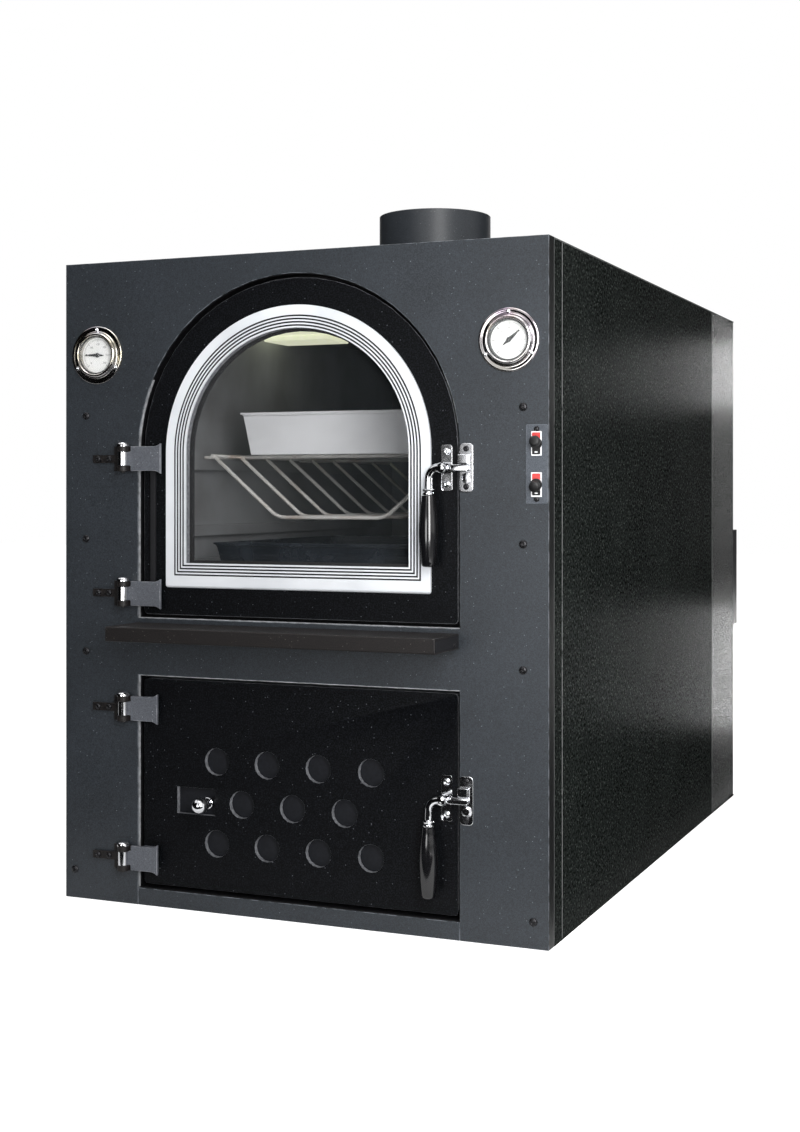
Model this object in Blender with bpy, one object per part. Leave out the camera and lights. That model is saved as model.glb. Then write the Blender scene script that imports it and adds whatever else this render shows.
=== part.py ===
"""Wood-fired oven: a sheet-steel cabinet with an arched glass oven door over a firebox door.

Metres, +Z up. The origin is the middle of the cabinet's footprint on the floor; the front faces -Y.
"""
import math

import bmesh
import bpy
from mathutils import Matrix, Vector

# Clearances shared by every joint and seat
FIT = 0.0003
OVERRUN = 0.010

# Casing
CASE_WIDTH = 0.800
CASE_HEIGHT = 1.000
CASE_DEPTH = 1.280
SHEET = 0.002
RETURN_DEPTH = 0.024
CREASE_SETBACK = 0.0615
CREASE_WIDTH = 0.003
CREASE_DEPTH = 0.0008
REAR_CORNER = 0.218
SIDE_GROOVE = 0.003
STRIP_LAP = 0.020
STRIP_STEP = 0.0015
STRIP_FLANGE = 0.0575
VENT_WIDTH = 0.090
VENT_HEIGHT = 0.008
VENT_PITCH = 0.022
VENT_ROWS = 5
VENT_INSET = 0.160
VENT_DROP = 0.140

# Openings in the front panel
JAMB = 0.133
HEADROOM = 0.033
UPPER_SILL_SHARE = 0.445
LOWER_HEAD_SHARE = 0.357
LOWER_SILL = 0.0265

# Doors
DOOR_GAP = 0.006
DOOR_RECESS = 0.009
DOOR_THICKNESS = 0.028
DOOR_CORNER = 0.006
GASKET_THICKNESS = 0.0080
GASKET_WIDTH = 0.012
GASKET_INSET = 0.006

# Oven door window
WINDOW_BORDER = 0.081
WINDOW_RISE = 0.086
TRIM_BAND = 0.034
TRIM_FOOT = 0.038
TRIM_THICKNESS = 0.004
TRIM_STEP = 0.0016
TRIM_STEP_SHARE = 0.62
TRIM_CORNER = 0.009
GLASS_LAP = 0.014
GLASS_THICKNESS = 0.004
GLASS_LIP = 0.010
RETAINER_WIDTH = 0.018
RETAINER_THICKNESS = 0.003

# Lower door
LOWER_FACE = 0.008
LOWER_RIM = 0.012
LOWER_LATCH_RIM = 0.031
AIR_ROWS = (4, 3, 4)
AIR_LEFT_BORDER = 0.1285
AIR_RIGHT_BORDER = 0.1364
AIR_TOP_SHARE = 0.6112
AIR_ROW_SHARE = 0.1891
AIR_HOLE_SHARE = 0.245
AIR_FACETS = 16
SLOT_LENGTH = 0.066
SLOT_HEIGHT = 0.041
SLOT_BORDER = 0.059
SLIDE_THICKNESS = 0.003
SLIDE_MARGIN = 0.014
SLIDE_TAIL = 0.003
GUIDE_LIP = 0.006
GUIDE_THICKNESS = 0.002
KNOB_RADIUS = 0.0130
KNOB_STUD = 0.004
KNOB_STANDOFF = 0.018
KNOB_NUT = 0.0085
KNOB_NUT_LENGTH = 0.009
BALL_RINGS = 8

# Hinges
HINGE_OFFSET = 0.0195
HINGE_STANDOFF = 0.0125
BARREL_RADIUS = 0.0075
BARREL_HEIGHT = 0.022
PIN_RADIUS = 0.0032
PIN_CLEARANCE = 0.00025
PIN_HEAD = 0.0080
PIN_HEAD_RISE = 0.0060
PIN_TAIL = 0.0020
EAR_THICKNESS = 0.008
EAR_RADIUS = 0.0088
BRACKET_THICKNESS = 0.004
BRACKET_LENGTH = 0.060
BRACKET_HEIGHT = 0.012
BRACKET_FOOT = 0.012
STRAP_THICKNESS = 0.005
STRAP_STANDOFF = 0.003
STRAP_HEIGHT = 0.042
STRAP_CLEAR = 0.0105
STRAP_PAD = 0.024
STRAP_TIE = 0.012
STRAP_TIE_INSET = 0.001
STRAP_TIE_RISE = 0.005
UPPER_STRAP_RISE = 0.038
UPPER_STRAP_DROP = 0.008
LOWER_STRAP_RISE = 0.0465
LOWER_STRAP_DROP = 0.052

# Latches
LATCH_INSET = 0.0165
UPPER_LATCH_DROP = 0.025
LOWER_LATCH_SHARE = 0.528
LATCH_PLATE_WIDTH = 0.017
LATCH_PLATE_HEIGHT = 0.066
LATCH_PLATE_THICKNESS = 0.003
LATCH_PLATE_ROUND = 0.003
KEEPER_WIDTH = 0.021
KEEPER_HEIGHT = 0.070
KEEPER_THICKNESS = 0.003
KEEPER_STOP_RISE = 0.008
KEEPER_STOP_HEIGHT = 0.013
KEEPER_STOP_SHARE = 0.45
KEEPER_ROUND = 0.006
SPINDLE_RADIUS = 0.005
SPINDLE_REACH = 0.012
HUB_RADIUS = 0.0085
HUB_LENGTH = 0.0244
HUB_EDGE = 0.0015
TONGUE_WIDTH = 0.0045
TONGUE_HEIGHT = 0.009
TONGUE_CLEAR = 0.0012
ARM_RADIUS = 0.0058
ARM_BEND = 0.014
ARM_STEPS = 6
ARM_SETBACK = 0.0070
TANG_RADIUS = 0.003
ELBOW_DROP = 0.0320
ELBOW_REACH = 0.0210
COLLAR_RADIUS = 0.0085
COLLAR_WAIST = 0.0064
COLLAR_LENGTH = 0.010
GRIP_LENGTH = 0.102
GRIP_RADIUS = 0.0140
GRIP_NECK = 0.0098
GRIP_LENGTH_SHARES = (0.12, 0.30, 0.52, 0.75, 0.92)
GRIP_GIRTH_SHARES = (0.28, 0.78, 1.0, 0.72, 0.30)

# Shelf under the oven door
SHELF_INSET = 0.0015
SHELF_REACH = 0.095
SHELF_DROP = 0.0065
SHELF_DEPTH = 0.022
SHELF_WALL = 0.0025
SHELF_ROUND = 0.002

# Thermometers
GAUGE_INSET = 0.059
GAUGE_DROP = 0.145
BEZEL_RADIUS = 0.0455
BEZEL_RISE = 0.009
BEZEL_LIP = 0.0015
CUP_RADIUS = 0.0315
CUP_WALL = 0.0015
CUP_DEPTH = 0.018
GAUGE_FACETS = 32
DIAL_SETBACK = 0.001
NEEDLE_SPINDLE = 0.0013
SPINDLE_CLEARANCE = 0.0001
NEEDLE_HUB = 0.0042
NEEDLE_LENGTH = 0.021
NEEDLE_TAIL = 0.012
NEEDLE_WIDTH = 0.0022
NEEDLE_THICKNESS = 0.0010
NEEDLE_STANDOFF = 0.0015
LEFT_NEEDLE_TURN = math.radians(-88)
RIGHT_NEEDLE_TURN = math.radians(50)
GAUGE_GLASS_THICKNESS = 0.0015

# Switches
SWITCH_PLATE_WIDTH = 0.032
SWITCH_PLATE_HEIGHT = 0.111
SWITCH_PLATE_THICKNESS = 0.0015
SWITCH_PLATE_ROUND = 0.002
SWITCH_INSET = 0.0175
SWITCH_DROP = 0.3205
SWITCH_SPACING = 0.0575
SWITCH_FRAME_WIDTH = 0.0155
SWITCH_FRAME_HEIGHT = 0.0345
SWITCH_FRAME_RISE = 0.002
SWITCH_BODY_WIDTH = 0.0125
SWITCH_BODY_HEIGHT = 0.0300
SWITCH_BODY_DEPTH = 0.020
SWITCH_SOCKET = 0.0056
SWITCH_SOCKET_DEPTH = 0.0115
SWITCH_BALL = 0.0050
SWITCH_BOOT = 0.0080
SWITCH_BOOT_LENGTH = 0.0170
SWITCH_BOOT_START = 0.0073
SWITCH_BOOT_FOOT = 0.0055
SWITCH_TILT = math.radians(13)

# Inner steelwork
BULKHEAD_THICKNESS = 0.004
MOUTH_MARGIN = 0.028
MOUTH_CEILING_GAP = 0.004
FLOOR_RISE = 0.085
ROOF_SPACE = 0.070
REAR_SPACE = 0.1601
CASE_SPACE = 0.010
SMOKE_GAP = 0.050
SMOKE_BACK_GAP = 0.074
RAIL_WIDTH = 0.012
RAIL_DROP = 0.018
RAIL_SHEET = 0.0015
RAIL_START = 0.020
RAIL_END_GAP = 0.096
UPPER_RAIL_RISE = 0.165
LOWER_RAIL_RISE = 0.055
JACKET_ROOF_GAP = 0.028
FIREBOX_LINTEL = 0.032
HEARTH_THICKNESS = 0.030
HEARTH_FOOT = 0.020
HEARTH_FOOT_LENGTH = 0.060
HEARTH_FOOT_SHARES = (0.08, 0.50, 0.92)
BRICK_THICKNESS = 0.038
BRICK_BACK_GAP = 0.030
GRATE_TABLE = 0.100
GRATE_TABLE_SHEET = 0.004
GRATE_HOLE_WIDTH = 0.200
GRATE_HOLE_LENGTH = 0.350
GRATE_HOLE_SETBACK = 0.200
GRATE_LAP = 0.015
GRATE_THICKNESS = 0.012
GRATE_SLOT = 0.012
GRATE_SLOTS = 6
GRATE_SLOT_LENGTH = 0.300
DRAWER_WIDTH = 0.380
DRAWER_LENGTH = 0.440
DRAWER_HEIGHT = 0.058
DRAWER_SETBACK = 0.070
DRAWER_WALL = 0.002
DRAWER_PULL = 0.100
DRAWER_PULL_REACH = 0.012
DRAWER_PULL_HEIGHT = 0.010
DRAWER_PULL_THICKNESS = 0.003
INSULATION = 0.055

# Flue
FLUE_RADIUS = 0.1005
FLUE_WALL = 0.003
FLUE_RISE = 0.138
FLUE_SETBACK = 0.577
FLUE_FLANGE = 0.022
FLUE_FLANGE_THICKNESS = 0.003
FLUE_FLANGE_SEAT = 0.011

# Fan
FAN_LIFT = 0.005
FAN_RADIUS = 0.075
FAN_WIDTH = 0.026
FAN_DISC = 0.002
FAN_BLADES = 8
FAN_BLADE = 0.002
FAN_BLADE_ROOT = 0.045
FAN_HUB = 0.014
FAN_CLEAR = 0.012
SHAFT_RADIUS = 0.005
SHAFT_CLEARANCE = 0.0004
SHAFT_ENTRY = 0.020
GUARD_RADIUS = 0.098
GUARD_SHEET = 0.0015
GUARD_DEPTH = 0.046
GUARD_HOLE = 0.013
GUARD_HOLES = 8
GUARD_CIRCLE = 0.055
MOTOR_RADIUS = 0.045
MOTOR_LENGTH = 0.070
MOTOR_SOCKET = 0.020
MOTOR_FLANGE = 0.062
MOTOR_FLANGE_THICKNESS = 0.004
TUBE_CLEARANCE = 0.003

# Lamp in the vault
LAMP_INSET = 0.006
LAMP_SETBACK = 0.370
LAMP_WIDTH = 0.140
LAMP_LENGTH = 0.110
LAMP_DEPTH = 0.010
LAMP_GLASS = 0.010
LAMP_GLASS_INSET = 0.008

# Rack, pan and tray
WIRE = 0.0030
RACK_SIDE_GAP = 0.077
RACK_SLOPE_REACH = 0.115
RACK_DROP = 0.098
RACK_SETBACK = 0.084
RACK_END_GAP = 0.192
RACK_WIRES = 9
RACK_CROSS_SHARES = (0.14, 0.64)
PAN_SIDE_GAP = 0.018
PAN_LENGTH = 0.500
PAN_HEIGHT = 0.069
PAN_SETBACK = 0.148
PAN_WALL = 0.0012
PAN_DRAFT = 0.010
PAN_RIM = 0.006
TRAY_SIDE_GAP = 0.113
TRAY_LENGTH = 0.430
TRAY_HEIGHT = 0.031
TRAY_SETBACK = 0.026
TRAY_WALL = 0.0012
TRAY_DRAFT = 0.006

# Terminal box on the back
BOX_WIDTH = 0.180
BOX_HEIGHT = 0.200
BOX_DEPTH = 0.045
BOX_BOTTOM = 0.360
BOX_WALL = 0.0015
BOX_INSET = 0.003
INLET_WIDTH = 0.027
INLET_HEIGHT = 0.020
INLET_DEPTH = 0.014

# Facets round a full circle
FINE = 48
ROUND = 24
SMALL = 12

# Places that follow from the sizes
FRONT = -CASE_DEPTH / 2
BACK = CASE_DEPTH / 2
SIDE = CASE_WIDTH / 2
SIDE_END = BACK - REAR_CORNER
VENT_TOP = CASE_HEIGHT - VENT_DROP
OPENING_HALF = SIDE - JAMB
ARCH_SPRING = CASE_HEIGHT - HEADROOM - OPENING_HALF
UPPER_SILL = CASE_HEIGHT * UPPER_SILL_SHARE
LOWER_HEAD = CASE_HEIGHT * LOWER_HEAD_SHARE
LOWER_HEIGHT = LOWER_HEAD - LOWER_SILL
DOOR_HALF = OPENING_HALF - DOOR_GAP
DOOR_FACE = FRONT + DOOR_RECESS
DOOR_BACK = DOOR_FACE + DOOR_THICKNESS
BULKHEAD_FACE = DOOR_BACK + GASKET_THICKNESS + 2 * FIT
BULKHEAD_BACK = BULKHEAD_FACE + BULKHEAD_THICKNESS
INNER_START = BULKHEAD_BACK + FIT
JACKET_END = BACK - REAR_SPACE
JACKET_HALF = SIDE - CASE_SPACE - INSULATION
JACKET_TOP = CASE_HEIGHT - JACKET_ROOF_GAP
CHAMBER_END = JACKET_END - SMOKE_BACK_GAP
CHAMBER_HALF = JACKET_HALF - SMOKE_GAP
CHAMBER_FLOOR = UPPER_SILL + FLOOR_RISE
CHAMBER_CEILING = CASE_HEIGHT - ROOF_SPACE
BRICK_END = JACKET_END - BRICK_BACK_GAP
WINDOW_HALF = OPENING_HALF - WINDOW_BORDER
WINDOW_SILL = UPPER_SILL + WINDOW_RISE
AIR_LEFT = AIR_LEFT_BORDER - DOOR_HALF
AIR_PITCH = (DOOR_HALF - AIR_RIGHT_BORDER - AIR_LEFT) / (max(AIR_ROWS) - 1)
AIR_ROW_PITCH = LOWER_HEIGHT * AIR_ROW_SHARE
AIR_HOLE = AIR_PITCH * AIR_HOLE_SHARE
AIR_TOP = LOWER_SILL + LOWER_HEIGHT * AIR_TOP_SHARE
SLOT_LEFT = SLOT_BORDER - DOOR_HALF
SLOT_MIDDLE = AIR_TOP - AIR_ROW_PITCH
UPPER_STRAPS = (UPPER_SILL + UPPER_STRAP_RISE, ARCH_SPRING - UPPER_STRAP_DROP)
LOWER_STRAPS = (LOWER_SILL + LOWER_STRAP_RISE, LOWER_HEAD - LOWER_STRAP_DROP)
UPPER_LATCH = ARCH_SPRING - UPPER_LATCH_DROP
LOWER_LATCH = LOWER_SILL + LOWER_HEIGHT * LOWER_LATCH_SHARE
SHELF_TOP = UPPER_SILL - SHELF_DROP
GAUGE_HEIGHT = CASE_HEIGHT - GAUGE_DROP
SWITCH_MIDDLE = CASE_HEIGHT - SWITCH_DROP
UPPER_RAIL = CHAMBER_FLOOR + UPPER_RAIL_RISE
LOWER_RAIL = CHAMBER_FLOOR + LOWER_RAIL_RISE
FIREBOX_HEAD = LOWER_HEAD - FIREBOX_LINTEL
FLUE_TOP = CASE_HEIGHT + FLUE_RISE
FAN_HEIGHT = (CHAMBER_FLOOR + CHAMBER_CEILING) / 2 + FAN_LIFT
RACK_HALF = CHAMBER_HALF - RACK_SIDE_GAP
RACK_RUN = CHAMBER_END - INNER_START - RACK_SETBACK - RACK_END_GAP
PAN_WIDTH = 2 * (RACK_HALF - PAN_SIDE_GAP)
TRAY_WIDTH = 2 * (CHAMBER_HALF - TRAY_SIDE_GAP)
HINGE_X = -OPENING_HALF - HINGE_OFFSET
HINGE_Y = FRONT - HINGE_STANDOFF
LATCH_X = DOOR_HALF - LATCH_INSET
SHELL_START = FRONT + RETURN_DEPTH + FIT
SHELL_BOTTOM = SHEET + FIT
SHELL_TOP = CASE_HEIGHT - SHEET - FIT
DRAWER_FLOOR = LOWER_SILL + SHEET
GRATE_TOP = GRATE_TABLE + GRATE_TABLE_SHEET
HEARTH_BOTTOM = CHAMBER_FLOOR - SHEET - FIT - HEARTH_THICKNESS
LINING_TOP = HEARTH_BOTTOM - HEARTH_FOOT - FIT
TOWARDS_FRONT = Vector((0, -1, 0))
TOWARDS_BACK = Vector((0, 1, 0))
UP = Vector((0, 0, 1))

MATERIALS = {
    "anthracite_paint": ((0.045, 0.055, 0.065), 0.55, 0.0),
    "black_enamel": ((0.008, 0.008, 0.010), 0.35, 0.0),
    "hammered_black": ((0.010, 0.012, 0.011), 0.25, 0.0),
    "grey_casting": ((0.12, 0.125, 0.135), 0.55, 0.3),
    "black_iron": ((0.010, 0.010, 0.011), 0.50, 0.4),
    "chrome": ((0.80, 0.81, 0.82), 0.08, 1.0),
    "bright_steel": ((0.75, 0.76, 0.77), 0.22, 1.0),
    "raw_steel": ((0.20, 0.20, 0.20), 0.45, 1.0),
    "cast_iron": ((0.04, 0.04, 0.04), 0.70, 0.5),
    "firebrick": ((0.55, 0.42, 0.27), 0.90, 0.0),
    "mineral_wool": ((0.50, 0.47, 0.35), 0.95, 0.0),
    "gasket_rope": ((0.50, 0.48, 0.44), 0.95, 0.0),
    "glass": ((0.80, 0.85, 0.85), 0.02, 0.0),
    "black_plastic": ((0.008, 0.008, 0.008), 0.30, 0.0),
    "white_plastic": ((0.80, 0.80, 0.80), 0.40, 0.0),
    "clear_lamp_glass": ((0.85, 0.82, 0.70), 0.10, 0.0),
}


def clear_scene():
    """Remove every object that the file opened with."""
    for old in list(bpy.data.objects):
        bpy.data.objects.remove(old, do_unlink=True)


def material(name):
    """Return the Principled material of that name, made once."""
    found = bpy.data.materials.get(name)
    if found:
        return found
    colour, roughness, metallic = MATERIALS[name]
    made = bpy.data.materials.new(name)
    made.use_nodes = True
    shader = made.node_tree.nodes["Principled BSDF"]
    shader.inputs["Base Color"].default_value = (*colour, 1.0)
    shader.inputs["Roughness"].default_value = roughness
    shader.inputs["Metallic"].default_value = metallic
    return made


def part(name, bm, finish, smooth=False):
    """Turn a bmesh into a named object with its own material."""
    bmesh.ops.recalc_face_normals(bm, faces=bm.faces)
    mesh = bpy.data.meshes.new(name)
    bm.to_mesh(mesh)
    bm.free()
    mesh.materials.append(material(finish))
    if smooth:
        mesh.shade_smooth()
        mesh.set_sharp_from_angle(angle=math.radians(35))
    obj = bpy.data.objects.new(name, mesh)
    bpy.context.scene.collection.objects.link(obj)
    return obj


def combine(target, bm, operation):
    """Give target a Boolean modifier that uses the shape in bm."""
    bmesh.ops.recalc_face_normals(bm, faces=bm.faces)
    mesh = bpy.data.meshes.new(target.name + "_tool")
    bm.to_mesh(mesh)
    bm.free()
    tool = bpy.data.objects.new(target.name + "_tool", mesh)
    bpy.context.scene.collection.objects.link(tool)
    tool.hide_render = True
    tool.display_type = "WIRE"
    step = target.modifiers.new(operation.lower(), "BOOLEAN")
    step.operation = operation
    step.solver = "EXACT"
    step.object = tool
    return tool


def cut(target, bm):
    """Cut the shape in bm out of target."""
    return combine(target, bm, "DIFFERENCE")


def fuse(target, bm):
    """Weld the shape in bm to target."""
    return combine(target, bm, "UNION")


def hang(name, pivot, pieces, parent=None):
    """Parent pieces to an empty on a joint axis, leaving them where they are."""
    axis = bpy.data.objects.new(name, None)
    bpy.context.scene.collection.objects.link(axis)
    base = Vector((0, 0, 0))
    if parent is not None:
        axis.parent = parent
        base = parent.matrix_world.translation.copy()
    axis.location = Vector(pivot) - base
    bpy.context.view_layer.update()
    for piece in pieces:
        piece.parent = axis
        piece.matrix_parent_inverse = Matrix.Translation(-Vector(pivot))
    return axis


def block(bm, low, high):
    """Add a rectangular block between two corners."""
    low = Vector(low)
    high = Vector(high)
    size = high - low
    place = Matrix.Translation((low + high) / 2) @ Matrix.Diagonal((*size, 1.0))
    return bmesh.ops.create_cube(bm, size=1.0, matrix=place)["verts"]


def slab(low, high):
    """Return a bmesh that holds one block."""
    bm = bmesh.new()
    block(bm, low, high)
    return bm


def prism(bm, outline, to_point, low, high):
    """Extrude a closed outline from low to high; to_point(u, v, w) places a point."""
    verts = [bm.verts.new(to_point(u, v, low)) for u, v in outline]
    face = bm.faces.new(verts)
    grown = bmesh.ops.extrude_face_region(bm, geom=[face])
    moved = [item for item in grown["geom"] if isinstance(item, bmesh.types.BMVert)]
    shift = Vector(to_point(0, 0, high)) - Vector(to_point(0, 0, low))
    bmesh.ops.translate(bm, verts=moved, vec=shift)


def upright(u, v, w):
    """Place an outline drawn in X and Z, extruded along Y."""
    return (u, w, v)


def plan(u, v, w):
    """Place an outline drawn in X and Y, extruded along Z."""
    return (u, v, w)


def across(u, v, w):
    """Place an outline drawn in Y and Z, extruded along X."""
    return (w, u, v)


def arc(centre, radius, start, end, steps):
    """Points along an arc, both ends included; angles in radians."""
    cx, cy = centre
    turn = (end - start) / steps
    return [(cx + radius * math.cos(start + turn * i), cy + radius * math.sin(start + turn * i))
            for i in range(steps + 1)]


def rounded(x0, y0, x1, y1, radius, steps=4):
    """A rectangle with round corners, anticlockwise."""
    corners = (((x1 - radius, y0 + radius), -90), ((x1 - radius, y1 - radius), 0),
               ((x0 + radius, y1 - radius), 90), ((x0 + radius, y0 + radius), 180))
    points = []
    for centre, angle in corners:
        points += arc(centre, radius, math.radians(angle), math.radians(angle + 90), steps)
    return points


def arch(half, sill, spring, corner=0.0, steps=ROUND):
    """A round-headed opening: a square foot with small corners under a half circle."""
    head = arc((0, spring), half, 0, math.pi, steps)
    if corner > 0:
        left = arc((-half + corner, sill + corner), corner, math.pi, 1.5 * math.pi, 4)
        right = arc((half - corner, sill + corner), corner, 1.5 * math.pi, 2 * math.pi, 4)
    else:
        left = [(-half, sill)]
        right = [(half, sill)]
    return head + left + right


def add_to(bm, piece):
    """Copy the closed shape in piece into bm, and free piece."""
    bmesh.ops.recalc_face_normals(piece, faces=piece.faces)
    mesh = bpy.data.meshes.new("piece")
    piece.to_mesh(mesh)
    piece.free()
    bm.from_mesh(mesh)
    bpy.data.meshes.remove(mesh)


def turned(bm, profile, at, direction, steps, ring=False):
    """Spin a (radius, height) profile about an axis through at, along direction."""
    piece = bmesh.new()
    verts = [piece.verts.new((radius, 0, height)) for radius, height in profile]
    edges = [piece.edges.new(pair) for pair in zip(verts, verts[1:])]
    if ring:
        edges.append(piece.edges.new((verts[-1], verts[0])))
    bmesh.ops.spin(piece, geom=verts + edges, cent=(0, 0, 0), axis=UP, angle=2 * math.pi,
                   steps=steps, use_merge=True)
    bmesh.ops.remove_doubles(piece, verts=piece.verts, dist=FIT / 30)
    place = Matrix.Translation(at) @ UP.rotation_difference(direction).to_matrix().to_4x4()
    bmesh.ops.transform(piece, matrix=place, verts=piece.verts)
    add_to(bm, piece)


def rod(bm, at, direction, radius, length, steps):
    """Add a plain round bar that starts at a point."""
    turned(bm, [(0, 0), (radius, 0), (radius, length), (0, length)], at, direction, steps)


def bore(bm, at, direction, radius, length, steps=SMALL):
    """Add a round cutter centred on a point."""
    start = Vector(at) - Vector(direction) * length / 2
    rod(bm, start, direction, radius, length, steps)


def swept(bm, points, radius, sides_level=1):
    """Add a round bar that follows a chain of points."""
    curve = bpy.data.curves.new("bar", "CURVE")
    curve.dimensions = "3D"
    curve.bevel_depth = radius
    curve.bevel_resolution = sides_level
    curve.use_fill_caps = True
    spline = curve.splines.new("POLY")
    spline.points.add(len(points) - 1)
    for place, point in zip(spline.points, points):
        place.co = (*point, 1.0)
    holder = bpy.data.objects.new("bar", curve)
    mesh = bpy.data.meshes.new_from_object(holder)
    bm.from_mesh(mesh)
    bpy.data.objects.remove(holder)
    bpy.data.meshes.remove(mesh)
    bmesh.ops.remove_doubles(bm, verts=bm.verts, dist=FIT / 30)


def keeper_x():
    """The keepers' centre line, with their left edges flush with the opening."""
    return OPENING_HALF + KEEPER_WIDTH / 2 + FIT


def switch_x():
    """The switch plate's centre line."""
    return SIDE - SWITCH_INSET


def switch_heights():
    """The lower and the upper switch."""
    return (SWITCH_MIDDLE - SWITCH_SPACING / 2, SWITCH_MIDDLE + SWITCH_SPACING / 2)


def gauge_places():
    """Left and right thermometer centres on the panel's face."""
    return [Vector((side * (SIDE - GAUGE_INSET), FRONT, GAUGE_HEIGHT)) for side in (-1, 1)]


def clear_radius(radius, clearance, steps):
    """The corner radius of a faceted hole whose flats stay clear of a round pin."""
    return (radius + clearance) / math.cos(math.pi / steps)


def make_casing():
    """The outer sheet-steel shells."""
    panel = part("front_panel", slab((-SIDE, FRONT, 0), (SIDE, FRONT + RETURN_DEPTH, CASE_HEIGHT)),
                 "anthracite_paint")
    cut(panel, slab((-SIDE + SHEET, FRONT + SHEET, SHEET),
                    (SIDE - SHEET, FRONT + RETURN_DEPTH + OVERRUN, CASE_HEIGHT - SHEET)))
    holes = bmesh.new()
    prism(holes, arch(OPENING_HALF, UPPER_SILL, ARCH_SPRING), upright,
          FRONT - OVERRUN, FRONT + RETURN_DEPTH + OVERRUN)
    block(holes, (-OPENING_HALF, FRONT - OVERRUN, -OVERRUN),
          (OPENING_HALF, FRONT + RETURN_DEPTH + OVERRUN, LOWER_HEAD))
    for place in gauge_places():
        bore(holes, place, TOWARDS_FRONT, CUP_RADIUS + FIT, 2 * OVERRUN, ROUND)
    for height in switch_heights():
        half_width = SWITCH_BODY_WIDTH / 2 + FIT
        half_height = SWITCH_BODY_HEIGHT / 2 + FIT
        block(holes, (switch_x() - half_width, FRONT - OVERRUN, height - half_height),
              (switch_x() + half_width, FRONT + OVERRUN, height + half_height))
    cut(panel, holes)

    rail = part("bottom_rail",
                slab((-OPENING_HALF + FIT, FRONT, 0),
                     (OPENING_HALF - FIT, FRONT + RETURN_DEPTH, LOWER_SILL)),
                "anthracite_paint")
    cut(rail, slab((-OPENING_HALF - OVERRUN, FRONT + SHEET, SHEET),
                   (OPENING_HALF + OVERRUN, FRONT + RETURN_DEPTH + OVERRUN, LOWER_SILL - SHEET)))

    for name, side in (("left_side_panel", -1), ("right_side_panel", 1)):
        make_side_panel(name, side)
    make_rear_cover()

    cover = part("top_panel", slab((-SIDE, SHELL_START, CASE_HEIGHT - SHEET),
                                   (SIDE, BACK, CASE_HEIGHT)), "hammered_black")
    hole = bmesh.new()
    bore(hole, (0, FRONT + FLUE_SETBACK, CASE_HEIGHT), UP, FLUE_RADIUS + FIT, OVERRUN, FINE)
    cut(cover, hole)
    part("base_panel", slab((-SIDE, SHELL_START, 0), (SIDE, BACK, SHEET)), "hammered_black")


def make_side_panel(name, side):
    """One flat side sheet with the shallow crease behind the front panel's return."""
    outer = side * SIDE
    inner = side * (SIDE - SHEET)
    sheet = part(name, slab((min(outer, inner), SHELL_START, SHELL_BOTTOM),
                            (max(outer, inner), SIDE_END, SHELL_TOP)), "hammered_black")
    floor = side * (SIDE - CREASE_DEPTH)
    over = side * (SIDE + OVERRUN)
    crease = FRONT + CREASE_SETBACK
    cut(sheet, slab((min(floor, over), crease - CREASE_WIDTH / 2, SHELL_BOTTOM - OVERRUN),
                    (max(floor, over), crease + CREASE_WIDTH / 2, SHELL_TOP + OVERRUN)))


def make_rear_cover():
    """The back and both rear corners, folded from one sheet, lapped under the side panels."""
    lap = SIDE_END + SIDE_GROOVE
    step = BACK - STRIP_FLANGE
    under = SHEET + FIT
    low = STRIP_STEP + SHEET
    outer = [(under, lap - STRIP_LAP), (under, lap), (0, lap), (0, step), (STRIP_STEP, step),
             (STRIP_STEP, BACK)]
    inner = [(low, BACK - SHEET), (low, step - SHEET), (SHEET, step - SHEET),
             (SHEET, lap + SHEET), (under + SHEET, lap + SHEET), (under + SHEET, lap - STRIP_LAP)]
    right = [(SIDE - inset, y) for inset, y in outer]
    left = [(inset - SIDE, y) for inset, y in reversed(outer)]
    right_inner = [(SIDE - inset, y) for inset, y in reversed(inner)]
    left_inner = [(inset - SIDE, y) for inset, y in inner]
    shell = bmesh.new()
    prism(shell, right + left + list(reversed(left_inner)) + list(reversed(right_inner)), plan,
          SHELL_BOTTOM, SHELL_TOP)
    cover = part("rear_cover", shell, "hammered_black")
    vents = bmesh.new()
    for side in (-1, 1):
        middle = side * VENT_INSET
        for row in range(VENT_ROWS):
            height = VENT_TOP - row * VENT_PITCH
            block(vents, (middle - VENT_WIDTH / 2, BACK - OVERRUN, height - VENT_HEIGHT / 2),
                  (middle + VENT_WIDTH / 2, BACK + OVERRUN, height + VENT_HEIGHT / 2))
    cut(cover, vents)


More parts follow.
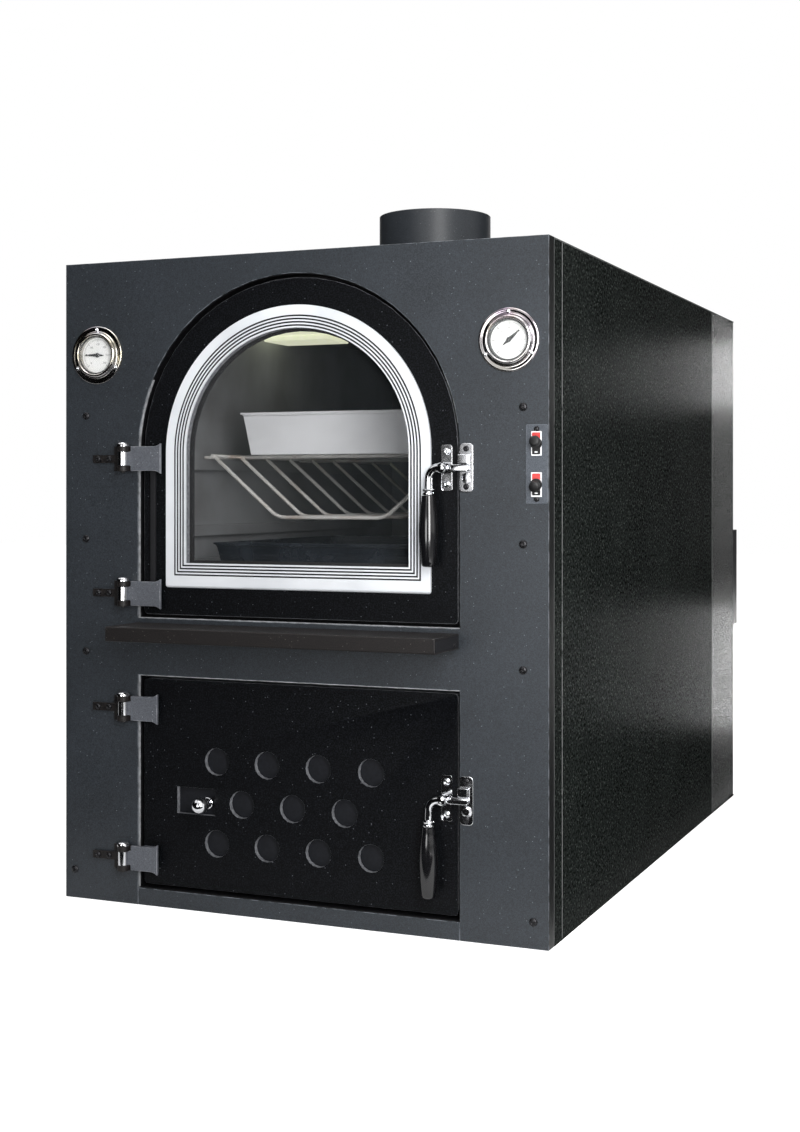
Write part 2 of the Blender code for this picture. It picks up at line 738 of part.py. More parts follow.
def make_heat_path():
    """The smoke jacket, flue, oven chamber, hearth and firebox inside the casing."""
    jacket = part("smoke_jacket",
                  slab((-JACKET_HALF, INNER_START, SHELL_BOTTOM),
                       (JACKET_HALF, JACKET_END, JACKET_TOP)), "raw_steel")
    cut(jacket, slab((-JACKET_HALF + SHEET, INNER_START - OVERRUN, -OVERRUN),
                     (JACKET_HALF - SHEET, JACKET_END - SHEET, JACKET_TOP - SHEET)))
    holes = bmesh.new()
    bore(holes, (0, FRONT + FLUE_SETBACK, JACKET_TOP), UP,
         FLUE_RADIUS + FLUE_FLANGE - FLUE_FLANGE_SEAT, OVERRUN, ROUND)
    bore(holes, (0, JACKET_END, FAN_HEIGHT), TOWARDS_BACK, SHAFT_ENTRY, OVERRUN, ROUND)
    cut(jacket, holes)

    collar = bmesh.new()
    foot = JACKET_TOP + FIT
    outer = FLUE_RADIUS
    inner = FLUE_RADIUS - FLUE_WALL
    turned(collar, [(inner, foot), (inner, FLUE_TOP), (outer, FLUE_TOP),
                    (outer, foot + FLUE_FLANGE_THICKNESS),
                    (outer + FLUE_FLANGE, foot + FLUE_FLANGE_THICKNESS),
                    (outer + FLUE_FLANGE, foot)],
           (0, FRONT + FLUE_SETBACK, 0), UP, FINE, ring=True)
    part("flue_collar", collar, "anthracite_paint", smooth=True)

    bulkhead = part("front_bulkhead",
                    slab((-SIDE + SHEET + FIT, BULKHEAD_FACE, SHELL_BOTTOM),
                         (SIDE - SHEET - FIT, BULKHEAD_BACK, SHELL_TOP)), "black_iron")
    mouths = bmesh.new()
    half = OPENING_HALF - MOUTH_MARGIN
    spring = CHAMBER_CEILING - MOUTH_CEILING_GAP - half
    prism(mouths, arch(half, CHAMBER_FLOOR + FIT, spring), upright,
          BULKHEAD_FACE - OVERRUN, BULKHEAD_BACK + OVERRUN)
    block(mouths, (-half, BULKHEAD_FACE - OVERRUN, DRAWER_FLOOR),
          (half, BULKHEAD_BACK + OVERRUN, FIREBOX_HEAD))
    cut(bulkhead, mouths)

    chamber = part("oven_chamber",
                   slab((-CHAMBER_HALF - SHEET, INNER_START, CHAMBER_FLOOR - SHEET),
                        (CHAMBER_HALF + SHEET, CHAMBER_END, CHAMBER_CEILING + SHEET)),
                   "raw_steel")
    cut(chamber, slab((-CHAMBER_HALF, INNER_START - OVERRUN, CHAMBER_FLOOR),
                      (CHAMBER_HALF, CHAMBER_END - SHEET, CHAMBER_CEILING)))
    entry = bmesh.new()
    bore(entry, (0, CHAMBER_END, FAN_HEIGHT), TOWARDS_BACK, SHAFT_RADIUS + TUBE_CLEARANCE,
         OVERRUN, ROUND)
    cut(chamber, entry)

    rails = bmesh.new()
    edge = CHAMBER_HALF + SHEET / 2
    ledge = CHAMBER_HALF - RAIL_WIDTH
    for side in (-1, 1):
        for top in (UPPER_RAIL, LOWER_RAIL):
            outline = [(edge, top), (ledge, top), (ledge, top - RAIL_DROP),
                       (ledge + RAIL_SHEET, top - RAIL_DROP), (ledge + RAIL_SHEET, top - RAIL_SHEET),
                       (edge, top - RAIL_SHEET)]
            piece = bmesh.new()
            prism(piece, [(side * x, z) for x, z in outline], upright,
                  INNER_START + RAIL_START, CHAMBER_END - RAIL_END_GAP)
            add_to(rails, piece)
    fuse(chamber, rails)

    hearth = part("hearth_slab",
                  slab((-CHAMBER_HALF - SHEET, INNER_START, HEARTH_BOTTOM),
                       (CHAMBER_HALF + SHEET, BRICK_END, HEARTH_BOTTOM + HEARTH_THICKNESS)),
                  "firebrick")
    feet = bmesh.new()
    reach = JACKET_HALF - SHEET - FIT
    for share in HEARTH_FOOT_SHARES:
        middle = INNER_START + share * (BRICK_END - INNER_START)
        block(feet, (-reach, middle - HEARTH_FOOT_LENGTH / 2, HEARTH_BOTTOM - HEARTH_FOOT),
              (reach, middle + HEARTH_FOOT_LENGTH / 2, HEARTH_BOTTOM + HEARTH_THICKNESS / 2))
    fuse(hearth, feet)

    lining = bmesh.new()
    inside = reach - BRICK_THICKNESS
    prism(lining, [(-reach, INNER_START), (-inside, INNER_START),
                   (-inside, BRICK_END - BRICK_THICKNESS), (inside, BRICK_END - BRICK_THICKNESS),
                   (inside, INNER_START), (reach, INNER_START), (reach, BRICK_END),
                   (-reach, BRICK_END)], plan, GRATE_TOP + FIT, LINING_TOP)
    part("firebrick_lining", lining, "firebrick")
    make_grate()

    wool = bmesh.new()
    outside = JACKET_HALF + FIT + INSULATION
    near = INNER_START
    far = JACKET_END + FIT + INSULATION
    prism(wool, [(-outside, near), (-JACKET_HALF - FIT, near), (-JACKET_HALF - FIT, JACKET_END + FIT),
                 (JACKET_HALF + FIT, JACKET_END + FIT), (JACKET_HALF + FIT, near), (outside, near),
                 (outside, far), (-outside, far)], plan, SHELL_BOTTOM, JACKET_TOP)
    blanket = part("insulation_blanket", wool, "mineral_wool")
    tunnel = bmesh.new()
    bore(tunnel, (0, far, FAN_HEIGHT), TOWARDS_BACK, SHAFT_ENTRY, 4 * INSULATION, ROUND)
    cut(blanket, tunnel)


def make_grate():
    """The table that carries the fire, its cast grate, and the ash drawer under it."""
    reach = JACKET_HALF - SHEET - FIT
    table = bmesh.new()
    leg = GRATE_TABLE_SHEET
    runner = DRAWER_FLOOR
    outline = [(-reach, SHELL_BOTTOM), (-reach + leg, SHELL_BOTTOM), (-reach + leg, runner - SHEET),
               (reach - leg, runner - SHEET), (reach - leg, SHELL_BOTTOM), (reach, SHELL_BOTTOM),
               (reach, GRATE_TOP), (-reach, GRATE_TOP)]
    prism(table, outline, upright, INNER_START, BRICK_END)
    stand = part("grate_table", table, "raw_steel")
    tunnel = slab((-reach + leg, INNER_START - OVERRUN, runner),
                  (reach - leg, BRICK_END + OVERRUN, GRATE_TABLE))
    cut(stand, tunnel)
    start = INNER_START + GRATE_HOLE_SETBACK
    half = GRATE_HOLE_WIDTH / 2
    cut(stand, slab((-half, start, GRATE_TABLE - OVERRUN),
                    (half, start + GRATE_HOLE_LENGTH, GRATE_TOP + OVERRUN)))

    grate = part("fire_grate",
                 slab((-half - GRATE_LAP, start - GRATE_LAP, GRATE_TOP + FIT),
                      (half + GRATE_LAP, start + GRATE_HOLE_LENGTH + GRATE_LAP,
                       GRATE_TOP + FIT + GRATE_THICKNESS)), "cast_iron")
    slots = bmesh.new()
    pitch = GRATE_HOLE_WIDTH / GRATE_SLOTS
    middle = start + GRATE_HOLE_LENGTH / 2
    for i in range(GRATE_SLOTS):
        x = -half + (i + 1 / 2) * pitch
        block(slots, (x - GRATE_SLOT / 2, middle - GRATE_SLOT_LENGTH / 2, GRATE_TOP - OVERRUN),
              (x + GRATE_SLOT / 2, middle + GRATE_SLOT_LENGTH / 2,
               GRATE_TOP + GRATE_THICKNESS + OVERRUN))
    cut(grate, slots)

    near = INNER_START + DRAWER_SETBACK
    half = DRAWER_WIDTH / 2
    low = DRAWER_FLOOR + FIT
    drawer = part("ash_drawer", slab((-half, near, low), (half, near + DRAWER_LENGTH,
                                                          low + DRAWER_HEIGHT)), "raw_steel")
    cut(drawer, slab((-half + DRAWER_WALL, near + DRAWER_WALL, low + DRAWER_WALL),
                     (half - DRAWER_WALL, near + DRAWER_LENGTH - DRAWER_WALL,
                      low + DRAWER_HEIGHT + OVERRUN)))
    pull = bmesh.new()
    lip = low + DRAWER_HEIGHT - DRAWER_PULL_HEIGHT
    block(pull, (-DRAWER_PULL / 2, near - DRAWER_PULL_REACH, lip),
          (DRAWER_PULL / 2, near + DRAWER_WALL / 2, lip + DRAWER_PULL_THICKNESS))
    fuse(drawer, pull)
    hang("ash_drawer_slide", (0, near, low), [drawer])


def make_shelf():
    """The folded ledge under the oven door."""
    half = OPENING_HALF - SHELF_INSET
    low = SHELF_TOP - SHELF_DEPTH
    near = FRONT - SHELF_REACH
    outline = rounded(near, low, FRONT - FIT, SHELF_TOP, SHELF_ROUND)
    shell = bmesh.new()
    prism(shell, outline, across, -half, half)
    shelf = part("shelf", shell, "black_iron", smooth=True)
    cut(shelf, slab((-half + SHELF_WALL, near + SHELF_WALL, low - OVERRUN),
                    (half - SHELF_WALL, FRONT - SHELF_WALL, SHELF_TOP - SHELF_WALL)))


def make_keepers():
    """The catch plates beside the doors, each with the stop that its latch tongue comes up to."""
    half = KEEPER_WIDTH / 2
    for name, height in (("upper_keeper", UPPER_LATCH), ("lower_keeper", LOWER_LATCH)):
        plate = bmesh.new()
        outline = rounded(keeper_x() - half, height - KEEPER_HEIGHT / 2, keeper_x() + half,
                          height + KEEPER_HEIGHT / 2, KEEPER_ROUND)
        prism(plate, outline, upright, FRONT - FIT - KEEPER_THICKNESS, FRONT - FIT)
        keeper = part(name, plate, "chrome")
        stop = height + TONGUE_HEIGHT / 2 + TONGUE_CLEAR
        fuse(keeper, slab((keeper_x() - half, FRONT - FIT - KEEPER_THICKNESS - KEEPER_STOP_RISE,
                           stop),
                          (keeper_x() + half * KEEPER_STOP_SHARE,
                           FRONT - FIT - KEEPER_THICKNESS / 2, stop + KEEPER_STOP_HEIGHT)))


def make_hinge_bracket(name, height):
    """A screwed-on foot with two ears that hold the pressed-in pin."""
    face = FRONT - FIT
    start = HINGE_X - BRACKET_LENGTH
    foot = part(name, slab((start, face - BRACKET_THICKNESS, height - BRACKET_HEIGHT / 2),
                           (HINGE_X - EAR_RADIUS / 2, face, height + BRACKET_HEIGHT / 2)),
                "black_iron")
    ear_low = BARREL_HEIGHT / 2 + FIT
    ear_high = ear_low + EAR_THICKNESS
    fuse(foot, slab((HINGE_X - EAR_RADIUS - BRACKET_FOOT, face - BRACKET_THICKNESS,
                     height - ear_high),
                    (HINGE_X - EAR_RADIUS / 2, face, height + ear_high)))
    for low in (height - ear_high, height + ear_low):
        ear = bmesh.new()
        sweep = arc((HINGE_X, HINGE_Y), EAR_RADIUS, math.pi, 2 * math.pi, SMALL)
        prism(ear, sweep + [(HINGE_X + EAR_RADIUS, face), (HINGE_X - EAR_RADIUS, face)], plan,
              low, low + EAR_THICKNESS)
        fuse(foot, ear)
    pin = bmesh.new()
    top = height + ear_high
    base = height - ear_high
    profile = [(0, base - PIN_TAIL), (PIN_RADIUS, base - PIN_TAIL), (PIN_RADIUS, top),
               (PIN_HEAD, top), (PIN_HEAD, top + PIN_HEAD_RISE / 3),
               (PIN_HEAD * 2 / 3, top + PIN_HEAD_RISE * 5 / 6), (0, top + PIN_HEAD_RISE)]
    turned(pin, profile, (HINGE_X, HINGE_Y, 0), UP, ROUND)
    fuse(foot, pin)


def make_hinge_leaf(name, heights):
    """A cast hinge leaf: a pad on the door, a tongue over the gap, and a barrel at each height."""
    front = FRONT - STRAP_STANDOFF - STRAP_THICKNESS
    back = FRONT - STRAP_STANDOFF
    left = HINGE_X + HINGE_OFFSET + DOOR_GAP
    right = left + STRAP_PAD
    outline = [(HINGE_X, front), (right, front), (right, DOOR_FACE - FIT), (left, DOOR_FACE - FIT),
               (left, back), (HINGE_X, back)]
    leaves = []
    notches = bmesh.new()
    barrels = bmesh.new()
    eyes = bmesh.new()
    for height in heights:
        leaf = bmesh.new()
        prism(leaf, outline, plan, height - STRAP_HEIGHT / 2, height + STRAP_HEIGHT / 2)
        leaves.append(leaf)
        for side in (-1, 1):
            near = height + side * BARREL_HEIGHT / 2
            far = height + side * (STRAP_HEIGHT / 2 + OVERRUN)
            block(notches, (HINGE_X - OVERRUN, front - OVERRUN, min(near, far)),
                  (HINGE_X + STRAP_CLEAR, back + OVERRUN, max(near, far)))
        rod(barrels, (HINGE_X, HINGE_Y, height - BARREL_HEIGHT / 2), UP, BARREL_RADIUS,
            BARREL_HEIGHT, ROUND)
        bore(eyes, (HINGE_X, HINGE_Y, height), UP,
             clear_radius(PIN_RADIUS, PIN_CLEARANCE, ROUND), BARREL_HEIGHT + OVERRUN, ROUND)
    hinge = part(name, leaves[0], "grey_casting")
    if len(heights) > 1:
        fuse(hinge, slab((right - STRAP_TIE, DOOR_FACE - 2 * FIT - STRAP_TIE_RISE, heights[0]),
                         (right - STRAP_TIE_INSET, DOOR_FACE - 2 * FIT, heights[1])))
        fuse(hinge, leaves[1])
    cut(hinge, notches)
    fuse(hinge, barrels)
    cut(hinge, eyes)
    return hinge


def make_latch(prefix, height, parent):
    """A plate on the door, the lever that turns in it, and the grip that hangs from the lever."""
    face = DOOR_FACE - FIT
    half = LATCH_PLATE_WIDTH / 2
    sheet = bmesh.new()
    prism(sheet, rounded(LATCH_X - half, height - LATCH_PLATE_HEIGHT / 2, LATCH_X + half,
                         height + LATCH_PLATE_HEIGHT / 2, LATCH_PLATE_ROUND), upright,
          face - LATCH_PLATE_THICKNESS, face)
    plate = part(prefix + "_latch_plate", sheet, "chrome")
    eye = bmesh.new()
    bore(eye, (LATCH_X, face, height), TOWARDS_FRONT,
         clear_radius(SPINDLE_RADIUS, FIT, ROUND), 2 * OVERRUN, ROUND)
    cut(plate, eye)
    plate.parent = parent
    plate.matrix_parent_inverse = parent.matrix_world.inverted()

    foot = face - LATCH_PLATE_THICKNESS - FIT
    out = foot - HUB_LENGTH + ARM_SETBACK
    pivot = Vector((LATCH_X, out, height))
    hub = bmesh.new()
    inner_end = foot - DOOR_FACE - SPINDLE_REACH
    turned(hub, [(0, inner_end), (SPINDLE_RADIUS, inner_end), (SPINDLE_RADIUS, 0),
                 (HUB_RADIUS, 0), (HUB_RADIUS, HUB_LENGTH - HUB_EDGE),
                 (HUB_RADIUS - HUB_EDGE, HUB_LENGTH), (0, HUB_LENGTH)],
           (LATCH_X, foot, height), TOWARDS_FRONT, ROUND)
    lever = part(prefix + "_lever", hub, "chrome", smooth=True)
    tip = keeper_x() + KEEPER_WIDTH / 2 * KEEPER_STOP_SHARE
    tongue_back = FRONT - FIT - KEEPER_THICKNESS - FIT
    fuse(lever, slab((LATCH_X + HUB_RADIUS / 2, tongue_back - TONGUE_WIDTH,
                      height - TONGUE_HEIGHT / 2),
                     (tip, tongue_back, height + TONGUE_HEIGHT / 2)))
    elbow = [(LATCH_X - HUB_RADIUS / 4, out, height)]
    centre = (LATCH_X - ELBOW_REACH + ARM_BEND, height - ARM_BEND)
    elbow += [(x, out, z) for x, z in arc(centre, ARM_BEND, math.pi / 2, math.pi, ARM_STEPS)]
    elbow.append((LATCH_X - ELBOW_REACH, out, height - ELBOW_DROP))
    arm = bmesh.new()
    swept(arm, elbow, ARM_RADIUS)
    fuse(lever, arm)
    below = Vector((LATCH_X - ELBOW_REACH, out, height - ELBOW_DROP))
    collar = bmesh.new()
    ring = COLLAR_LENGTH / 4
    turned(collar, [(0, -ring), (COLLAR_WAIST, -ring), (COLLAR_RADIUS, 0),
                    (COLLAR_WAIST, ring), (COLLAR_RADIUS, 2 * ring),
                    (COLLAR_RADIUS, 3 * ring), (TANG_RADIUS, 3 * ring),
                    (TANG_RADIUS, 3 * ring + GRIP_LENGTH / 2), (0, 3 * ring + GRIP_LENGTH / 2)],
           below, -UP, ROUND)
    fuse(lever, collar)

    top = below - UP * (3 * ring + FIT)
    handle = bmesh.new()
    profile = [(0, 0), (GRIP_NECK, 0)]
    for share, girth in zip(GRIP_LENGTH_SHARES, GRIP_GIRTH_SHARES):
        profile.append((GRIP_NECK + (GRIP_RADIUS - GRIP_NECK) * girth, GRIP_LENGTH * share))
    profile += [(GRIP_NECK * 4 / 5, GRIP_LENGTH), (0, GRIP_LENGTH)]
    turned(handle, profile, top, -UP, ROUND)
    grip = part(prefix + "_grip", handle, "black_plastic", smooth=True)
    socket = bmesh.new()
    bore(socket, top, UP, clear_radius(TANG_RADIUS, FIT, ROUND), GRIP_LENGTH + 4 * FIT, ROUND)
    cut(grip, socket)
    hang(prefix + "_latch_axis", pivot, [lever, grip], parent)


def make_upper_door():
    """The cast oven door with its window, bright trim, gasket, hinge leaf and latch."""
    outline = arch(DOOR_HALF, UPPER_SILL + DOOR_GAP, ARCH_SPRING, DOOR_CORNER)
    body = bmesh.new()
    prism(body, outline, upright, DOOR_FACE, DOOR_BACK)
    frame = part("upper_door_frame", body, "black_enamel")
    hole = bmesh.new()
    prism(hole, arch(WINDOW_HALF, WINDOW_SILL, ARCH_SPRING), upright,
          DOOR_FACE - OVERRUN, DOOR_BACK + OVERRUN)
    cut(frame, hole)
    rebate = bmesh.new()
    wide = WINDOW_HALF + GLASS_LAP
    prism(rebate, arch(wide, WINDOW_SILL - GLASS_LAP, ARCH_SPRING), upright,
          DOOR_FACE + GLASS_LIP, DOOR_BACK + OVERRUN)
    cut(frame, rebate)
    spindle = bmesh.new()
    bore(spindle, (LATCH_X, DOOR_FACE, UPPER_LATCH), TOWARDS_FRONT,
         clear_radius(SPINDLE_RADIUS, FIT, ROUND), 2 * SPINDLE_REACH + 4 * FIT, ROUND)
    cut(frame, spindle)

    pane = bmesh.new()
    near = DOOR_FACE + GLASS_LIP + FIT
    prism(pane, arch(wide - FIT, WINDOW_SILL - GLASS_LAP + FIT, ARCH_SPRING), upright,
          near, near + GLASS_THICKNESS)
    glass = part("oven_glass", pane, "glass")

    band = bmesh.new()
    outer = WINDOW_HALF + TRIM_BAND
    prism(band, arch(outer, WINDOW_SILL - TRIM_FOOT, ARCH_SPRING, TRIM_CORNER), upright,
          DOOR_FACE - FIT - TRIM_THICKNESS, DOOR_FACE - FIT)
    trim = part("window_trim", band, "bright_steel")
    step = bmesh.new()
    inner = WINDOW_HALF + TRIM_BAND * TRIM_STEP_SHARE
    prism(step, arch(inner, WINDOW_SILL - TRIM_FOOT * TRIM_STEP_SHARE, ARCH_SPRING), upright,
          DOOR_FACE - TRIM_THICKNESS - OVERRUN, DOOR_FACE - FIT - TRIM_THICKNESS + TRIM_STEP)
    cut(trim, step)
    light = bmesh.new()
    prism(light, arch(WINDOW_HALF, WINDOW_SILL, ARCH_SPRING), upright,
          DOOR_FACE - TRIM_THICKNESS - OVERRUN, DOOR_FACE + OVERRUN)
    cut(trim, light)

    rope = bmesh.new()
    edge = DOOR_HALF - GASKET_INSET
    prism(rope, arch(edge, UPPER_SILL + DOOR_GAP + GASKET_INSET, ARCH_SPRING), upright,
          DOOR_BACK + FIT, DOOR_BACK + FIT + GASKET_THICKNESS)
    gasket = part("upper_gasket", rope, "gasket_rope")
    inside = bmesh.new()
    narrow = edge - GASKET_WIDTH
    prism(inside, arch(narrow, UPPER_SILL + DOOR_GAP + GASKET_INSET + GASKET_WIDTH, ARCH_SPRING),
          upright, DOOR_BACK - OVERRUN, DOOR_BACK + GASKET_THICKNESS + OVERRUN)
    cut(gasket, inside)

    retainer = bmesh.new()
    glass_back = near + GLASS_THICKNESS + FIT
    prism(retainer, arch(wide - FIT, WINDOW_SILL - GLASS_LAP + FIT, ARCH_SPRING), upright,
          glass_back, glass_back + RETAINER_THICKNESS)
    frame_ring = part("glass_retainer", retainer, "raw_steel")
    opening = bmesh.new()
    prism(opening, arch(wide - RETAINER_WIDTH, WINDOW_SILL - GLASS_LAP + RETAINER_WIDTH,
                        ARCH_SPRING), upright, glass_back - OVERRUN, glass_back + OVERRUN)
    cut(frame_ring, opening)

    strap = make_hinge_leaf("upper_strap", UPPER_STRAPS)
    pieces = [frame, glass, trim, gasket, frame_ring, strap]
    axis = hang("upper_door_axis", (HINGE_X, HINGE_Y, ARCH_SPRING), pieces)
    make_latch("upper", UPPER_LATCH, axis)


def air_hole_places(shift=0.0):
    """Centres of the air holes, row by row from the top."""
    places = []
    most = max(AIR_ROWS)
    for row, count in enumerate(AIR_ROWS):
        left = AIR_LEFT + (most - count) * AIR_PITCH / 2 + shift
        for i in range(count):
            places.append((left + i * AIR_PITCH, AIR_TOP - row * AIR_ROW_PITCH))
    return places


def make_lower_door():
    """The firebox door: a face with air holes, a slide behind it, hinge leaves and latch."""
    low = LOWER_SILL + DOOR_GAP
    high = LOWER_HEAD - DOOR_GAP
    body = bmesh.new()
    prism(body, rounded(-DOOR_HALF, low, DOOR_HALF, high, DOOR_CORNER), upright,
          DOOR_FACE, DOOR_BACK)
    door = part("lower_door_plate", body, "black_enamel")
    face_back = DOOR_FACE + LOWER_FACE
    cut(door, slab((-DOOR_HALF + LOWER_RIM, face_back, low + LOWER_RIM),
                   (DOOR_HALF - LOWER_LATCH_RIM, DOOR_BACK + OVERRUN, high - LOWER_RIM)))
    holes = bmesh.new()
    for x, z in air_hole_places():
        bore(holes, (x, DOOR_FACE, z), TOWARDS_FRONT, AIR_HOLE, 2 * LOWER_FACE + OVERRUN, AIR_FACETS)
    block(holes, (SLOT_LEFT, DOOR_FACE - OVERRUN, SLOT_MIDDLE - SLOT_HEIGHT / 2),
          (SLOT_LEFT + SLOT_LENGTH, face_back + OVERRUN, SLOT_MIDDLE + SLOT_HEIGHT / 2))
    bore(holes, (LATCH_X, DOOR_FACE, LOWER_LATCH), TOWARDS_FRONT,
         clear_radius(SPINDLE_RADIUS, FIT, ROUND), 2 * SPINDLE_REACH + 4 * FIT, ROUND)
    cut(door, holes)

    slide_low = AIR_TOP - 2 * AIR_ROW_PITCH - AIR_HOLE - SLIDE_MARGIN
    slide_high = AIR_TOP + AIR_HOLE + SLIDE_MARGIN
    guides = bmesh.new()
    pocket_left = -DOOR_HALF + LOWER_RIM
    pocket_right = DOOR_HALF - LOWER_LATCH_RIM
    for edge, side in ((slide_low, -1), (slide_high, 1)):
        foot = edge + side * FIT
        outline = [(foot, face_back - LOWER_FACE / 4), (foot, face_back + SLIDE_THICKNESS + 2 * FIT),
                   (foot - side * GUIDE_LIP, face_back + SLIDE_THICKNESS + 2 * FIT),
                   (foot - side * GUIDE_LIP, face_back + SLIDE_THICKNESS + 2 * FIT
                    + GUIDE_THICKNESS),
                   (foot + side * GUIDE_THICKNESS, face_back + SLIDE_THICKNESS + 2 * FIT
                    + GUIDE_THICKNESS),
                   (foot + side * GUIDE_THICKNESS, face_back - LOWER_FACE / 4)]
        prism(guides, [(y, z) for z, y in outline], across, pocket_left - OVERRUN / 2,
              pocket_right + OVERRUN / 2)
    fuse(door, guides)

    slide_left = SLOT_LEFT - SLIDE_TAIL
    slide_right = AIR_LEFT + (max(AIR_ROWS) - 1) * AIR_PITCH + AIR_HOLE + SLIDE_MARGIN
    plate = part("air_slide",
                 slab((slide_left, face_back + FIT, slide_low),
                      (slide_right, face_back + FIT + SLIDE_THICKNESS, slide_high)), "black_iron")
    ports = bmesh.new()
    for x, z in air_hole_places(AIR_PITCH / 2):
        if x + AIR_HOLE < slide_right:
            bore(ports, (x, face_back, z), TOWARDS_FRONT, AIR_HOLE - SLIDE_THICKNESS,
                 2 * OVERRUN, AIR_FACETS)
    cut(plate, ports)
    knob_x = SLOT_LEFT + SLOT_LENGTH - KNOB_NUT - FIT
    knob = bmesh.new()
    ball = []
    base = math.asin(KNOB_STUD / KNOB_RADIUS)
    centre = LOWER_FACE + KNOB_STANDOFF + KNOB_RADIUS
    for i in range(BALL_RINGS + 1):
        angle = base + (math.pi - base) * i / BALL_RINGS
        ball.append((KNOB_RADIUS * math.sin(angle), centre - KNOB_RADIUS * math.cos(angle)))
    profile = [(0, 0), (KNOB_NUT, 0), (KNOB_NUT, LOWER_FACE + KNOB_NUT_LENGTH),
               (KNOB_STUD, LOWER_FACE + KNOB_NUT_LENGTH)] + ball
    profile[-1] = (0, profile[-1][1])
    turned(knob, profile, (knob_x, face_back, SLOT_MIDDLE), TOWARDS_FRONT, ROUND)
    ball_knob = part("air_knob", knob, "chrome", smooth=True)

    straps = []
    for name, height in zip(("lower_bottom_strap", "lower_top_strap"), LOWER_STRAPS):
        straps.append(make_hinge_leaf(name, (height,)))
    axis = hang("lower_door_axis", (HINGE_X, HINGE_Y, sum(LOWER_STRAPS) / 2), [door] + straps)
    hang("air_slide_axis", (knob_x, face_back, SLOT_MIDDLE), [plate, ball_knob], axis)
    make_latch("lower", LOWER_LATCH, axis)


def make_gauge(prefix, place, turn):
    """A flanged thermometer: bezel and cup in one, printed dial at its foot, needle, glass."""
    cup = bmesh.new()
    bezel_back = FIT
    inner = CUP_RADIUS - CUP_WALL
    dial_front = -DIAL_SETBACK
    profile = [(0, -CUP_DEPTH), (CUP_RADIUS, -CUP_DEPTH), (CUP_RADIUS, bezel_back),
               (BEZEL_RADIUS, bezel_back), (BEZEL_RADIUS, bezel_back + BEZEL_LIP),
               (BEZEL_RADIUS - BEZEL_LIP, bezel_back + 2 * BEZEL_LIP),
               (BEZEL_RADIUS * 4 / 5, bezel_back + 2 * BEZEL_LIP),
               (CUP_RADIUS, BEZEL_RISE), (inner, BEZEL_RISE), (inner, dial_front),
               (0, dial_front)]
    turned(cup, profile, place, TOWARDS_FRONT, GAUGE_FACETS)
    case = part(prefix + "_gauge_case", cup, "chrome", smooth=True)
    hole = bmesh.new()
    bore(hole, place + TOWARDS_BACK * DIAL_SETBACK, TOWARDS_FRONT,
         clear_radius(NEEDLE_SPINDLE, SPINDLE_CLEARANCE, SMALL), CUP_DEPTH, SMALL)
    cut(case, hole)

    pane = bmesh.new()
    glass_at = place + TOWARDS_FRONT * (BEZEL_RISE - 2 * GAUGE_GLASS_THICKNESS)
    rod(pane, glass_at, TOWARDS_FRONT, inner - FIT, GAUGE_GLASS_THICKNESS, GAUGE_FACETS)
    part(prefix + "_gauge_glass", pane, "glass")

    hub_at = place + TOWARDS_FRONT * (NEEDLE_STANDOFF - DIAL_SETBACK)
    hub = bmesh.new()
    rod(hub, hub_at, TOWARDS_FRONT, NEEDLE_HUB / 2, 2 * NEEDLE_THICKNESS, SMALL)
    needle = part(prefix + "_needle", hub, "black_plastic")
    blade = bmesh.new()
    points = [(-NEEDLE_WIDTH / 2, 0), (0, -NEEDLE_TAIL), (NEEDLE_WIDTH / 2, 0), (0, NEEDLE_LENGTH)]
    turned_points = []
    for u, v in points:
        x = u * math.cos(turn) + v * math.sin(turn)
        z = v * math.cos(turn) - u * math.sin(turn)
        turned_points.append((place.x + x, place.z + z))
    depth = hub_at.y
    prism(blade, turned_points, upright, depth - NEEDLE_THICKNESS * 3 / 2, depth
          - NEEDLE_THICKNESS / 2)
    fuse(needle, blade)
    stem = bmesh.new()
    rod(stem, hub_at + TOWARDS_FRONT * NEEDLE_THICKNESS, TOWARDS_BACK, NEEDLE_SPINDLE,
        NEEDLE_STANDOFF + NEEDLE_THICKNESS + CUP_DEPTH / 4, SMALL)
    fuse(needle, stem)
    hang(prefix + "_needle_axis", place, [needle])


